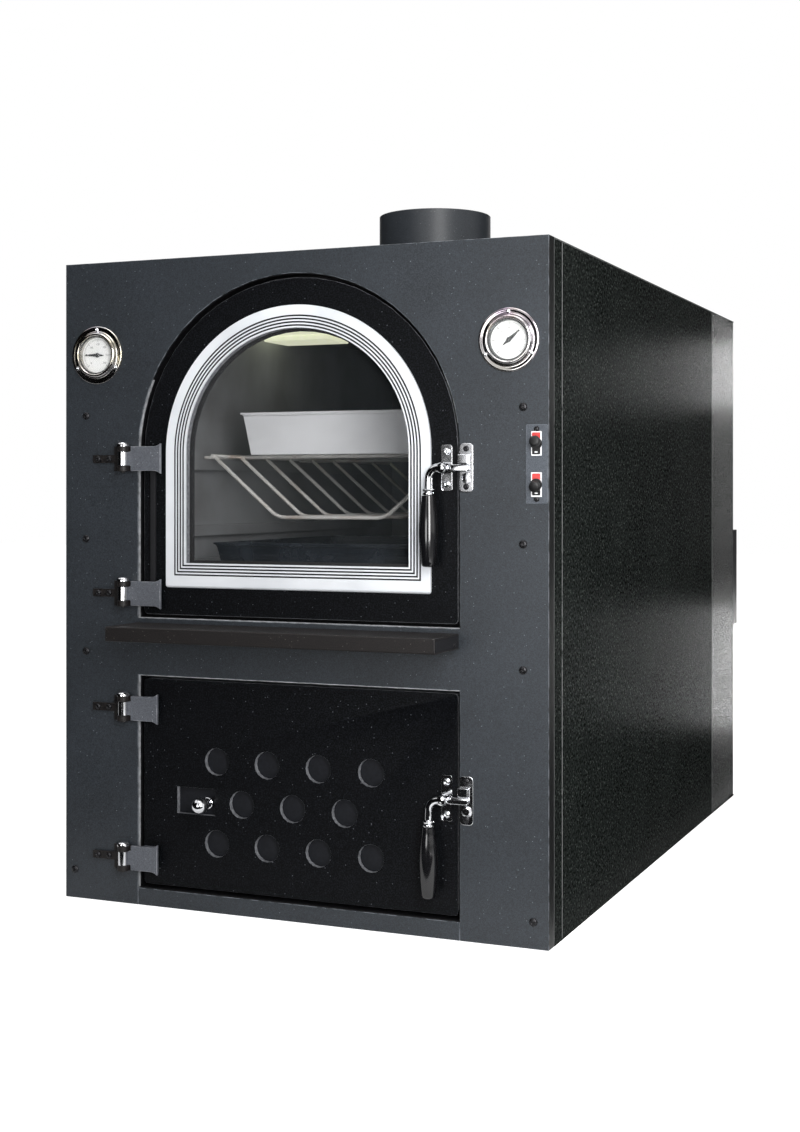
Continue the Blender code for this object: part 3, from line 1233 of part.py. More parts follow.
def make_switches():
    """The switch plate with two booted toggle switches through it."""
    face = FRONT - FIT
    plate_front = face - SWITCH_PLATE_THICKNESS
    half_width = SWITCH_PLATE_WIDTH / 2
    half_height = SWITCH_PLATE_HEIGHT / 2
    sheet = bmesh.new()
    prism(sheet, rounded(switch_x() - half_width, SWITCH_MIDDLE - half_height,
                         switch_x() + half_width, SWITCH_MIDDLE + half_height, SWITCH_PLATE_ROUND),
          upright, plate_front, face)
    plate = part("switch_plate", sheet, "anthracite_paint")
    holes = bmesh.new()
    body_half = SWITCH_BODY_WIDTH / 2
    body_tall = SWITCH_BODY_HEIGHT / 2
    for height in switch_heights():
        block(holes, (switch_x() - body_half - FIT, face - OVERRUN, height - body_tall - FIT),
              (switch_x() + body_half + FIT, face + OVERRUN, height + body_tall + FIT))
    cut(plate, holes)
    for prefix, height, tilt in (("lower", switch_heights()[0], -SWITCH_TILT),
                                 ("upper", switch_heights()[1], SWITCH_TILT)):
        frame_back = plate_front - FIT
        frame_front = frame_back - SWITCH_FRAME_RISE
        body = part(prefix + "_switch_body",
                    slab((switch_x() - SWITCH_FRAME_WIDTH / 2, frame_front,
                          height - SWITCH_FRAME_HEIGHT / 2),
                         (switch_x() + SWITCH_FRAME_WIDTH / 2, frame_back,
                          height + SWITCH_FRAME_HEIGHT / 2)), "white_plastic")
        fuse(body, slab((switch_x() - body_half, frame_back - SWITCH_FRAME_RISE / 2,
                         height - body_tall),
                        (switch_x() + body_half, FRONT + SWITCH_BODY_DEPTH, height + body_tall)))
        socket = bmesh.new()
        bore(socket, (switch_x(), frame_front, height), TOWARDS_FRONT, SWITCH_SOCKET,
             2 * SWITCH_SOCKET_DEPTH, ROUND)
        cut(body, socket)
        pivot = Vector((switch_x(), frame_front + SWITCH_BALL, height))
        direction = Vector((0, -math.cos(tilt), math.sin(tilt)))
        boot = bmesh.new()
        neck = SWITCH_BALL * 3 / 5
        profile = [(0, -SWITCH_BALL * 4 / 5), (neck, -SWITCH_BALL * 4 / 5), (SWITCH_BALL * 9 / 10, 0),
                   (neck, SWITCH_BALL), (SWITCH_BOOT_FOOT, SWITCH_BOOT_START),
                   (SWITCH_BOOT, SWITCH_BOOT_START + SWITCH_BOOT / 4),
                   (SWITCH_BOOT, SWITCH_BOOT_LENGTH - SWITCH_BOOT / 2),
                   (SWITCH_BOOT * 3 / 5, SWITCH_BOOT_LENGTH), (0, SWITCH_BOOT_LENGTH)]
        turned(boot, profile, pivot, direction, ROUND)
        toggle = part(prefix + "_toggle", boot, "black_plastic", smooth=True)
        hang(prefix + "_toggle_axis", pivot, [toggle])


def make_fan():
    """The convection fan on the chamber's back wall and its motor behind the insulation."""
    wall = CHAMBER_END - SHEET
    hub_end = wall - FAN_CLEAR
    disc_at = Vector((0, hub_end - FAN_DISC, FAN_HEIGHT))
    motor_front = BACK - SHEET - FIT - MOTOR_LENGTH
    shaft_end = motor_front + MOTOR_SOCKET - disc_at.y
    rotor = bmesh.new()
    turned(rotor, [(0, -2 * FAN_DISC), (SHAFT_RADIUS, -2 * FAN_DISC), (SHAFT_RADIUS, -FAN_DISC),
                   (FAN_HUB, -FAN_DISC), (FAN_HUB, 0), (FAN_RADIUS, 0), (FAN_RADIUS, FAN_DISC),
                   (FAN_HUB, FAN_DISC), (FAN_HUB, FAN_CLEAR / 2), (SHAFT_RADIUS, FAN_CLEAR / 2),
                   (SHAFT_RADIUS, shaft_end), (0, shaft_end)], disc_at, TOWARDS_BACK, ROUND)
    impeller = part("fan_impeller", rotor, "raw_steel")
    blades = bmesh.new()
    for i in range(FAN_BLADES):
        turn = 2 * math.pi * (i + 1 / 3) / FAN_BLADES
        piece = bmesh.new()
        block(piece, (FAN_BLADE_ROOT, -FAN_WIDTH, -FAN_BLADE / 2),
              (FAN_RADIUS - 2 * FAN_BLADE, FAN_DISC / 2, FAN_BLADE / 2))
        place = Matrix.Translation(disc_at) @ Matrix.Rotation(turn, 4, "Y")
        bmesh.ops.transform(piece, matrix=place, verts=piece.verts)
        add_to(blades, piece)
    fuse(impeller, blades)
    hang("fan_axis", disc_at, [impeller])

    drum = bmesh.new()
    turned(drum, [(0, 0), (MOTOR_FLANGE, 0), (MOTOR_FLANGE, MOTOR_FLANGE_THICKNESS),
                  (MOTOR_RADIUS, MOTOR_FLANGE_THICKNESS), (MOTOR_RADIUS, MOTOR_LENGTH
                                                           - MOTOR_FLANGE_THICKNESS),
                  (MOTOR_RADIUS - MOTOR_FLANGE_THICKNESS, MOTOR_LENGTH), (0, MOTOR_LENGTH)],
           (0, BACK - SHEET - FIT, FAN_HEIGHT), TOWARDS_FRONT, ROUND)
    motor = part("fan_motor", drum, "raw_steel", smooth=True)
    bearing = bmesh.new()
    bore(bearing, (0, motor_front, FAN_HEIGHT), TOWARDS_FRONT,
         clear_radius(SHAFT_RADIUS, SHAFT_CLEARANCE / 4, ROUND), 2 * MOTOR_SOCKET + OVERRUN, ROUND)
    cut(motor, bearing)

    dish = bmesh.new()
    mouth = GUARD_RADIUS - GUARD_DEPTH / 4
    turned(dish, [(0, GUARD_DEPTH), (mouth, GUARD_DEPTH), (GUARD_RADIUS, 0),
                  (GUARD_RADIUS - GUARD_SHEET, 0), (mouth - GUARD_SHEET, GUARD_DEPTH
                                                    - GUARD_SHEET),
                  (0, GUARD_DEPTH - GUARD_SHEET)],
           (0, wall - FIT, FAN_HEIGHT), TOWARDS_FRONT, ROUND)
    guard = part("fan_guard", dish, "bright_steel", smooth=True)
    ports = bmesh.new()
    for i in range(GUARD_HOLES):
        turn = 2 * math.pi * i / GUARD_HOLES
        bore(ports, (GUARD_CIRCLE * math.cos(turn), wall - GUARD_DEPTH,
                     FAN_HEIGHT + GUARD_CIRCLE * math.sin(turn)), TOWARDS_FRONT, GUARD_HOLE,
             OVERRUN, SMALL)
    bore(ports, (0, wall - GUARD_DEPTH, FAN_HEIGHT), TOWARDS_FRONT, GUARD_HOLE, OVERRUN, SMALL)
    cut(guard, ports)


def make_lamp():
    """The lamp under the vault's left corner."""
    left = -CHAMBER_HALF + LAMP_INSET
    near = INNER_START + LAMP_SETBACK
    top = CHAMBER_CEILING - FIT
    lamp = part("oven_lamp", slab((left, near, top - LAMP_DEPTH),
                                  (left + LAMP_WIDTH, near + LAMP_LENGTH, top)),
                "clear_lamp_glass")
    inset = LAMP_GLASS_INSET
    fuse(lamp, slab((left + inset, near + inset, top - LAMP_DEPTH - LAMP_GLASS),
                    (left + LAMP_WIDTH - inset, near + LAMP_LENGTH - inset,
                     top - LAMP_DEPTH / 2)))


def make_cookware():
    """The wire rack on the side rails, the pan on it, and the tray on the chamber floor."""
    half = RACK_HALF
    foot = half - RACK_SLOPE_REACH
    near = INNER_START + RACK_SETBACK
    rod_height = UPPER_RAIL + FIT + WIRE
    bars = bmesh.new()
    reach = CHAMBER_HALF - FIT - RAIL_WIDTH / 4
    for side in (-1, 1):
        piece = bmesh.new()
        swept(piece, [(side * half, near - 2 * WIRE, rod_height),
                      (side * half, near + RACK_RUN + 2 * WIRE, rod_height)], WIRE)
        add_to(bars, piece)
    rack = part("wire_rack", bars, "bright_steel")
    cross = bmesh.new()
    for share in RACK_CROSS_SHARES:
        y = near + share * RACK_RUN
        piece = bmesh.new()
        swept(piece, [(-reach, y, rod_height), (reach, y, rod_height)], WIRE)
        add_to(cross, piece)
    fuse(rack, cross)
    wires = bmesh.new()
    bottom = rod_height - RACK_DROP
    for i in range(RACK_WIRES):
        y = near + i * RACK_RUN / (RACK_WIRES - 1)
        piece = bmesh.new()
        swept(piece, [(-half, y, rod_height), (-foot, y, bottom), (foot, y, bottom),
                      (half, y, rod_height)], WIRE)
        add_to(wires, piece)
    fuse(rack, wires)

    pan_low = rod_height + WIRE + FIT
    pan_near = INNER_START + PAN_SETBACK
    pan = make_pan("roasting_pan", pan_near, pan_low, PAN_WIDTH, PAN_LENGTH, PAN_HEIGHT,
                   PAN_WALL, PAN_DRAFT, "bright_steel")
    tray = make_pan("floor_tray", INNER_START + TRAY_SETBACK, CHAMBER_FLOOR + FIT, TRAY_WIDTH,
                    TRAY_LENGTH, TRAY_HEIGHT, TRAY_WALL, TRAY_DRAFT, "black_enamel")
    axis = hang("rack_slide", (0, near, rod_height), [rack])
    hang("pan_slide", (0, pan_near, pan_low), [pan], axis)
    hang("tray_slide", (0, INNER_START + TRAY_SETBACK, CHAMBER_FLOOR), [tray])


def make_pan(name, near, low, width, length, height, wall, draft, finish):
    """An open pan with sloping sides and a turned-out rim."""
    outer = bmesh.new()
    tapered(outer, near, low, width, length, height, draft, 0)
    rim_low = low + height - PAN_RIM / 2
    pan = part(name, outer, finish)
    rim = slab((-width / 2 - PAN_RIM / 2, near - PAN_RIM / 2, rim_low),
               (width / 2 + PAN_RIM / 2, near + length + PAN_RIM / 2, low + height))
    fuse(pan, rim)
    inner = bmesh.new()
    tapered(inner, near, low, width, length, height, draft, wall)
    cut(pan, inner)
    return pan


def tapered(bm, near, low, width, length, height, draft, wall):
    """A block that widens upwards; with a wall it is the hollow inside, past the top."""
    base = low + wall
    top = low + height + (OVERRUN if wall else 0)
    spread = draft * (top - base) / height
    half = width / 2 - wall
    verts = block(bm, (-half, near + wall, base), (half, near + length - wall, top))
    middle = near + length / 2
    for vert in verts:
        if vert.co.z < (base + top) / 2:
            vert.co.x -= math.copysign(spread, vert.co.x)
            vert.co.y -= math.copysign(spread, vert.co.y - middle)


def make_terminal_box():
    """The electrical box on the back, by the right edge, with its mains inlet."""
    right = SIDE - BOX_INSET
    start = BACK + FIT
    box = part("terminal_box", slab((right - BOX_WIDTH, start, BOX_BOTTOM),
                                    (right, start + BOX_DEPTH, BOX_BOTTOM + BOX_HEIGHT)),
               "black_plastic")
    wall = BOX_WALL
    cut(box, slab((right - BOX_WIDTH + wall, start - OVERRUN, BOX_BOTTOM + wall),
                  (right - wall, start + BOX_DEPTH - wall, BOX_BOTTOM + BOX_HEIGHT - wall)))
    middle = right - BOX_WIDTH / 2
    low = BOX_BOTTOM + BOX_HEIGHT / 2 - INLET_HEIGHT / 2
    inlet = slab((middle - INLET_WIDTH / 2, start + BOX_DEPTH - INLET_DEPTH, low),
                 (middle + INLET_WIDTH / 2, start + BOX_DEPTH - wall / 2, low + INLET_HEIGHT))
    fuse(box, inlet)
    cut(box, slab((middle - INLET_WIDTH / 2 + wall, start + BOX_DEPTH - INLET_DEPTH + wall,
                   low + wall),
                  (middle + INLET_WIDTH / 2 - wall, start + BOX_DEPTH + OVERRUN,
                   low + INLET_HEIGHT - wall)))


clear_scene()
make_casing()
make_heat_path()
make_shelf()
make_keepers()
for label, strap_height in zip(("upper_bottom", "upper_top", "lower_bottom", "lower_top"),
                               UPPER_STRAPS + LOWER_STRAPS):
    make_hinge_bracket(label + "_bracket", strap_height)
make_upper_door()
make_lower_door()
left_place, right_place = gauge_places()
make_gauge("left", left_place, LEFT_NEEDLE_TURN)
make_gauge("right", right_place, RIGHT_NEEDLE_TURN)
make_switches()
make_fan()
make_lamp()
make_cookware()
make_terminal_box()
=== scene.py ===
import math

import bmesh
import bpy
from mathutils import Matrix, Vector


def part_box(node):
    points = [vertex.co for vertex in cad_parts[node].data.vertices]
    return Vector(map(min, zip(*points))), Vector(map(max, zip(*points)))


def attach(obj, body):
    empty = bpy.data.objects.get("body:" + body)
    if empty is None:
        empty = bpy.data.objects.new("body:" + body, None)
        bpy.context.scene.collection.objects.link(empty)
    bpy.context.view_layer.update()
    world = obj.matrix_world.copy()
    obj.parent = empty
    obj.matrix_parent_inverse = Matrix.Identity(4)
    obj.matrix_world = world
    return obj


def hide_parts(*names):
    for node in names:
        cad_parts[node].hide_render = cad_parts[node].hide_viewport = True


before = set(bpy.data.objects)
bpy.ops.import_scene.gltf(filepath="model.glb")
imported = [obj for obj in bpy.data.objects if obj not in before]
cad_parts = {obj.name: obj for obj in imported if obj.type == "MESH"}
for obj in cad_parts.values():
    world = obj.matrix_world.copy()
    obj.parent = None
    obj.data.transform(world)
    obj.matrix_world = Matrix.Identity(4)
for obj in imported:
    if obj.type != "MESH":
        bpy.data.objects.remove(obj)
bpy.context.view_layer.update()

# The casing: a folded front panel and bottom rail over flat side, top and base sheets and a folded
# rear cover, all 2 mm steel. The front is sprayed with fine speckled anthracite stove paint, the
# other sheets with black hammered paint, glossier behind and matt above. All are screwed together.
FRONT = -0.640
FIT = 0.0003
WELD = 0.00002
FLAT = math.radians(0.4)
SHARP = math.radians(32)
SHEET_EDGE = 0.0009
FORWARD = Vector((0, -1, 0))
REARWARD = Vector((0, 1, 0))
UP = Vector((0, 0, 1))


class Link:
    """One output of a material's node, which adds Math nodes when it is used in arithmetic."""

    def __init__(self, finish, socket):
        self.finish = finish
        self.socket = socket

    def maths(self, operation, first, second):
        return self.finish.node("ShaderNodeMath", {"operation": operation}, {0: first, 1: second})

    def __add__(self, other):
        return self.maths("ADD", self, other)

    def __radd__(self, other):
        return self.maths("ADD", other, self)

    def __sub__(self, other):
        return self.maths("SUBTRACT", self, other)

    def __rsub__(self, other):
        return self.maths("SUBTRACT", other, self)

    def __mul__(self, other):
        return self.maths("MULTIPLY", self, other)

    def __rmul__(self, other):
        return self.maths("MULTIPLY", other, self)

    def __lt__(self, other):
        return self.maths("LESS_THAN", self, other)

    def __gt__(self, other):
        return self.maths("GREATER_THAN", self, other)

    def between(self, low, high):
        """0 up to low, 1 from high on, and a straight rise between them."""
        return self.finish.node("ShaderNodeMapRange", {}, {0: self, 1: low, 2: high})


class Finish:
    """A procedural material, named after what it covers, with the slot that it stands for."""

    def __init__(self, name, slot, constants=None):
        self.slot = slot
        self.material = bpy.data.materials.new(name)
        self.material.use_nodes = True
        self.tree = self.material.node_tree
        self.shader = self.tree.nodes["Principled BSDF"]
        self.place = self.node("ShaderNodeTexCoord", {}, {}, "Object")
        self.set(constants or {})

    def plug(self, socket, value):
        if isinstance(value, Link):
            self.tree.links.new(value.socket, socket)
        else:
            socket.default_value = value

    def node(self, kind, settings, values, output=0):
        """Add a node, set it up, then give its sockets their values or links."""
        made = self.tree.nodes.new(kind)
        for name, value in settings.items():
            setattr(made, name, value)
        for name, value in values.items():
            self.plug(made.inputs[name], value)
        return Link(self, made.outputs[output])

    def set(self, sockets):
        for name, value in sockets.items():
            self.plug(self.shader.inputs[name], value)

    def noise(self, scale, detail=2.0, stretch=(1, 1, 1)):
        place = self.node("ShaderNodeMapping", {}, {"Vector": self.place, "Scale": stretch})
        return self.node("ShaderNodeTexNoise", {}, {"Vector": place, "Scale": scale,
                                                    "Detail": detail})

    def flecks(self, scale, size, share):
        """Round specks, one in some of the cells of a grid that has been shaken up."""
        values = {"Vector": self.place, "Scale": scale}
        near = self.node("ShaderNodeTexVoronoi", {}, values, "Distance")
        cell = self.node("ShaderNodeTexVoronoi", {}, values, "Color")
        luck = self.node("ShaderNodeSeparateColor", {}, {0: cell})
        return (1 - near.between(size * 0.6, size)) * (luck < share)

    def blend(self, factor, first, second):
        return self.node("ShaderNodeMix", {"data_type": "RGBA"},
                         {0: factor, 6: first, 7: second}, 2)

    def bump(self, height, distance, strength=1.0):
        self.set({"Normal": self.node("ShaderNodeBump", {}, {"Height": height, "Strength": strength,
                                                             "Distance": distance})})

    def mark(self, name):
        """A number that the mesh's own faces carry, 0 where they carry none."""
        return self.node("ShaderNodeAttribute", {"attribute_name": name}, {}, "Fac")

    def worn(self, share=0.5):
        """1 in rubbed patches of the rounded edges, 0 on flats."""
        return self.mark("edge") * self.noise(70, 3).between(0.60 - share * 0.4, 0.75 - share * 0.4)


def shade(red, green, blue):
    """A colour from its 0 to 255 screen values."""
    linear = []
    for value in (red, green, blue):
        share = value / 255
        linear.append(share / 12.92 if share <= 0.04045 else ((share + 0.055) / 1.055) ** 2.4)
    return (*linear, 1.0)


def speckled_paint(name, slot, dark, light, fleck, constants, crowd=0.04, edge=0.35):
    """Stove paint with a fine two-tone grain, sparse bright flecks and lightly rubbed edges."""
    paint = Finish(name, slot, constants)
    grain = paint.noise(760, 2).between(0.32, 0.70)
    cloud = paint.noise(9).between(0.25, 0.75)
    tone = paint.blend(grain * 0.80 + cloud * 0.20, dark, light)
    specks = paint.flecks(330, 0.24, crowd)
    tone = paint.blend(specks * 0.5, tone, fleck)
    tone = paint.blend(paint.mark("second"), tone, shade(13, 14, 14))
    paint.set({"Base Color": paint.blend(paint.worn() * edge, tone, fleck),
               "Roughness": constants["Roughness"] + grain * 0.10 - specks * 0.15})
    paint.bump(grain + specks, 0.00006, 0.5)
    return paint


def shell_of(node):
    """A copy of a CAD node's mesh with its triangles welded into whole flat faces."""
    bm = bmesh.new()
    bm.from_mesh(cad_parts[node].data)
    bmesh.ops.remove_doubles(bm, verts=bm.verts, dist=WELD)
    bmesh.ops.dissolve_limit(bm, angle_limit=FLAT, verts=bm.verts, edges=bm.edges)
    return bm


def soften(bm, width, segments=2, least=SHARP):
    """Round every edge that is sharper than least, and mark the new faces as edge."""
    mark = bm.faces.layers.float.get("edge") or bm.faces.layers.float.new("edge")
    edges = [edge for edge in bm.edges
             if len(edge.link_faces) == 2 and edge.calc_face_angle() > least]
    rounded_off = bmesh.ops.bevel(bm, geom=edges, offset=width, segments=segments, profile=0.5,
                                  affect="EDGES", clamp_overlap=True, material=-1)
    for face in rounded_off["faces"]:
        if face.is_valid:
            face[mark] = 1.0


def mark_faces(bm, name, chosen):
    """Give every face that chosen() picks a mark of that name."""
    layer = bm.faces.layers.float.get(name) or bm.faces.layers.float.new(name)
    for face in bm.faces:
        if chosen(face):
            face[layer] = 1.0


def piece(name, bm, finish, body, stands_for=(), smooth=SHARP, weighted=True):
    """Make a named object of a bmesh, riding on a body."""
    mesh = bpy.data.meshes.new(name)
    bm.to_mesh(mesh)
    bm.free()
    mesh.materials.append(finish.material)
    mesh.shade_smooth()
    mesh.set_sharp_from_angle(angle=smooth)
    made = bpy.data.objects.new(name, mesh)
    bpy.context.scene.collection.objects.link(made)
    if weighted:
        level = made.modifiers.new("even shading", "WEIGHTED_NORMAL")
        level.keep_sharp = True
    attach(made, body)
    if stands_for:
        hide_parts(*stands_for)
    return made


def dressed(node, finish, body, width, segments=2, second=None):
    """A CAD node with its sharp edges rounded; second() picks the faces of its second colour."""
    bm = shell_of(node)
    if second:
        mark_faces(bm, "second", second)
    soften(bm, width, segments)
    return piece(node + "_skin", bm, finish, body, (node,), math.radians(50))


def painted(finish, *nodes):
    """Give CAD nodes that stay as they are their finish."""
    for node in nodes:
        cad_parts[node].material_slots[0].material = finish.material


anthracite = speckled_paint("anthracite_stove_paint", "anthracite_paint", shade(17, 21, 25),
                            shade(49, 55, 62), shade(150, 156, 164),
                            {"Roughness": 0.42, "Specular IOR Level": 0.50})
SIDE = 0.400


def flank(face):
    """A face of the front panel's returns, which the black of the sides covers."""
    return abs(face.calc_center_median().x) > SIDE - 0.004 and abs(face.normal.x) > 0.7


dressed("front_panel", anthracite, "casing", SHEET_EDGE, 2, flank)
dressed("bottom_rail", anthracite, "casing", SHEET_EDGE, 2, flank)


def hammered_paint(name, sheen, depth):
    """Black paint that has dried in shallow dimples, with pale specks, rubbed patches on the edges
    and a faint painted highlight along every rounded edge.
    """
    paint = Finish(name, "hammered_black", {"Specular IOR Level": sheen})
    dimples = paint.noise(210, 2).between(0.42, 0.62)
    fine = paint.noise(500, 2)
    cloud = paint.noise(5).between(0.3, 0.7)
    tone = paint.blend(dimples * 0.8 + cloud * 0.2, shade(9, 11, 10), shade(44, 48, 46))
    dust = paint.flecks(190, 0.30, 0.25)
    tone = paint.blend(dust * 0.4, tone, shade(110, 114, 110))
    # A faint paling along every rounded edge is a painted highlight; the worn patches are rubbed
    # paint.
    lightening = paint.mark("edge") * (0.03 + paint.worn(0.8) * 0.25)
    paint.set({"Base Color": paint.blend(lightening, tone, shade(176, 178, 178)),
               "Roughness": 0.12 + fine * 0.16})
    paint.bump(dimples + fine * 0.4, depth)
    return paint


dull_black = hammered_paint("hammered_black_paint", 0.0012, 0.00015)
for sheet in ("left_side_panel", "right_side_panel"):
    dressed(sheet, dull_black, "casing", SHEET_EDGE)
matt_black = hammered_paint("hammered_black_matt", 0.0, 0.0003)
dressed("top_panel", matt_black, "casing", SHEET_EDGE)
painted(matt_black, "base_panel")
satin_black = hammered_paint("hammered_black_satin", 0.045, 0.0007)
dressed("rear_cover", satin_black, "casing", SHEET_EDGE)

# The casing's screws: black button-head screws of 12 mm across, driven through the front panel into
# the returns of the sides, and through the rear cover and the sides at the back. Their heads are
# blackened steel, polished a little by the driver.
SCREW_RADIUS = 0.0060
SCREW_RISE = 0.0030
SOCKET_SHARE = 0.36
BACK = 0.640
PANEL_SCREW_HEIGHTS = (0.760, 0.567, 0.390)
PANEL_SCREW_X = 0.362
FOOT_SCREWS = ((-0.3824, 0.045), (0.377, 0.038))
REAR_SCREW_X = (-0.385, -0.130, 0.130, 0.385)
REAR_SCREW_HEIGHTS = (0.030, 0.330, 0.640, 0.970)


def turned(bm, profile, at, direction, steps=32):
    """Spin a (radius, height) profile about an axis through a point, along a direction."""
    new = bmesh.new()
    verts = [new.verts.new((radius, 0, height)) for radius, height in profile]
    edges = [new.edges.new(pair) for pair in zip(verts, verts[1:])]
    bmesh.ops.spin(new, geom=verts + edges, cent=(0, 0, 0), axis=(0, 0, 1), angle=2 * math.pi,
                   steps=steps, use_merge=True)
    bmesh.ops.remove_doubles(new, verts=new.verts, dist=WELD / 4)
    bmesh.ops.recalc_face_normals(new, faces=new.faces)
    turn = UP.rotation_difference(Vector(direction)).to_matrix().to_4x4()
    bmesh.ops.transform(new, matrix=Matrix.Translation(at) @ turn, verts=new.verts)
    join(bm, new)


def join(bm, new):
    """Add the shapes in new to bm, and free new."""
    mesh = bpy.data.meshes.new("joined")
    new.to_mesh(mesh)
    new.free()
    bm.from_mesh(mesh)
    bpy.data.meshes.remove(mesh)


def button_screw(bm, at, direction, radius=SCREW_RADIUS, rise=SCREW_RISE):
    """A domed screw head with a round driver socket in it."""
    socket = radius * SOCKET_SHARE
    turned(bm, [(0, -rise / 4), (radius, -rise / 4), (radius, rise * 0.25),
                (radius * 0.92, rise * 0.55), (radius * 0.72, rise * 0.86), (socket * 1.15, rise),
                (socket, rise * 0.92), (socket * 0.9, rise * 0.35), (0, rise * 0.3)],
           at, direction, 24)


def screws(name, finish, body, seats, *size):
    """A piece of screw heads, each given by its seat and the direction it faces."""
    heads = bmesh.new()
    for at, direction in seats:
        button_screw(heads, at, direction, *size)
    piece(name, heads, finish, body, weighted=False)


def black_screw_finish():
    """Blackened steel, brighter where the driver and fingers have rubbed it."""
    steel = Finish("blackened_screw_steel", "black_iron", {"Metallic": 0.6, "Roughness": 0.30})
    lightening = steel.noise(800, 2).between(0.45, 0.75)
    steel.set({"Base Color": steel.blend(lightening * 0.5, shade(22, 22, 24), shade(88, 88, 92)),
               "Roughness": 0.26 + lightening * 0.15})
    return steel


screw_steel = black_screw_finish()
seats = [(side * PANEL_SCREW_X, z) for z in PANEL_SCREW_HEIGHTS for side in (-1, 1)]
screws("front_panel_screws", screw_steel, "casing",
       [((x, FRONT, z), FORWARD) for x, z in seats + list(FOOT_SCREWS)])
ends = (REAR_SCREW_HEIGHTS[0], REAR_SCREW_HEIGHTS[-1])
screws("rear_cover_screws", screw_steel, "casing",
       [((x, BACK, z), REARWARD) for x in REAR_SCREW_X for z in REAR_SCREW_HEIGHTS
        if abs(x) >= SIDE / 2 or z in ends])

# The louvres of the rear cover: ten hoods over the slots, pressed out of the sheet so that rain
# runs off, in the hammered black of the casing, glossier where the sheet is drawn.
LOUVRE_ROWS = 5
LOUVRE_PITCH = 0.022
LOUVRE_TOP = 0.860
LOUVRE_WIDTH = 0.098
LOUVRE_REACH = 0.007
LOUVRE_X = 0.160
LOUVRE_SKIN = 0.0012
LOUVRE_DROP = 0.28
LOUVRE_STRETCH = 1.5


def plate(bm, outline, place, thickness):
    """Extrude a flat outline, given as points that place() puts in space, by a thickness."""
    new = bmesh.new()
    face = new.faces.new([new.verts.new(place(u, v)) for u, v in outline])
    grown = bmesh.ops.extrude_face_region(new, geom=[face])
    moved = [item for item in grown["geom"] if isinstance(item, bmesh.types.BMVert)]
    bmesh.ops.translate(new, verts=moved, vec=thickness)
    bmesh.ops.recalc_face_normals(new, faces=new.faces)
    join(bm, new)


def arc(centre, radius, start, end, steps):
    """Points along an arc, both ends included; angles in degrees."""
    points = []
    for step in range(steps + 1):
        angle = math.radians(start + (end - start) * step / steps)
        points.append((centre[0] + radius * math.cos(angle), centre[1] + radius * math.sin(angle)))
    return points


hoods = bmesh.new()
for side in (-1, 1):
    for row in range(LOUVRE_ROWS):
        low = LOUVRE_TOP - row * LOUVRE_PITCH - LOUVRE_PITCH * LOUVRE_DROP
        hinge = (BACK - LOUVRE_SKIN / 2, low)
        section = (arc(hinge, LOUVRE_REACH, 0, 90, 8)
                   + arc(hinge, LOUVRE_REACH - LOUVRE_SKIN, 90, 0, 8))
        section = [(y, low + (z - low) * LOUVRE_STRETCH) for y, z in section]
        left = side * LOUVRE_X - LOUVRE_WIDTH / 2
        plate(hoods, section, lambda y, z: (left, y, z), (LOUVRE_WIDTH, 0, 0))
gloss_black = hammered_paint("hammered_black_gloss", 0.50, 0.0003)
piece("rear_louvres", hoods, gloss_black, "casing")

# The returns of the two openings: strips of 1.2 mm zinc-coated sheet, 26 mm deep, spot-welded
# behind the panel round the doors. The oven's follows the round head. Black, a painted shade,
# covers all but their front edges, and also the front edges of the low sill, the right sides and
# the head of the arch; the other front edges stay pale zinc grey, a painted highlight where light
# catches them.
OPENING_HALF = 0.267
ARCH_SPRING = 0.700
UPPER_SILL = 0.445
LOWER_SILL = 0.0265
LOWER_HEAD = 0.357
RETURN_START = FRONT + 0.0018
RETURN_DEPTH = 0.026
BARE_DEPTH = 0.0042
RETURN_SHEET = 0.0012


def band(bm, outer, inner, place, depth):
    """A frame between two outlines with as many points each, extruded by a depth."""
    new = bmesh.new()
    outside = [new.verts.new(place(u, v)) for u, v in outer]
    inside = [new.verts.new(place(u, v)) for u, v in inner]
    for here in range(len(outer)):
        after = (here + 1) % len(outer)
        new.faces.new((outside[here], outside[after], inside[after], inside[here]))
    grown = bmesh.ops.extrude_face_region(new, geom=new.faces[:])
    moved = [item for item in grown["geom"] if isinstance(item, bmesh.types.BMVert)]
    bmesh.ops.translate(new, verts=moved, vec=depth)
    bmesh.ops.recalc_face_normals(new, faces=new.faces)
    join(bm, new)


def arch_outline(half, sill):
    """A round head over a square foot."""
    return arc((0, ARCH_SPRING), half, 0, 180, 64) + [(-half, sill), (half, sill)]


def returns(start, depth):
    """Both openings' strips between two depths behind the panel."""
    strips = bmesh.new()
    band(strips, arch_outline(OPENING_HALF, UPPER_SILL),
         arch_outline(OPENING_HALF - RETURN_SHEET, UPPER_SILL + RETURN_SHEET),
         lambda x, z: (x, start, z), (0, depth, 0))
    half = OPENING_HALF - RETURN_SHEET
    band(strips, [(-OPENING_HALF, LOWER_SILL), (OPENING_HALF, LOWER_SILL),
                  (OPENING_HALF, LOWER_HEAD), (-OPENING_HALF, LOWER_HEAD)],
         [(-half, LOWER_SILL + RETURN_SHEET), (half, LOWER_SILL + RETURN_SHEET),
          (half, LOWER_HEAD - RETURN_SHEET), (-half, LOWER_HEAD - RETURN_SHEET)],
         lambda x, z: (x, start, z), (0, depth, 0))
    return strips


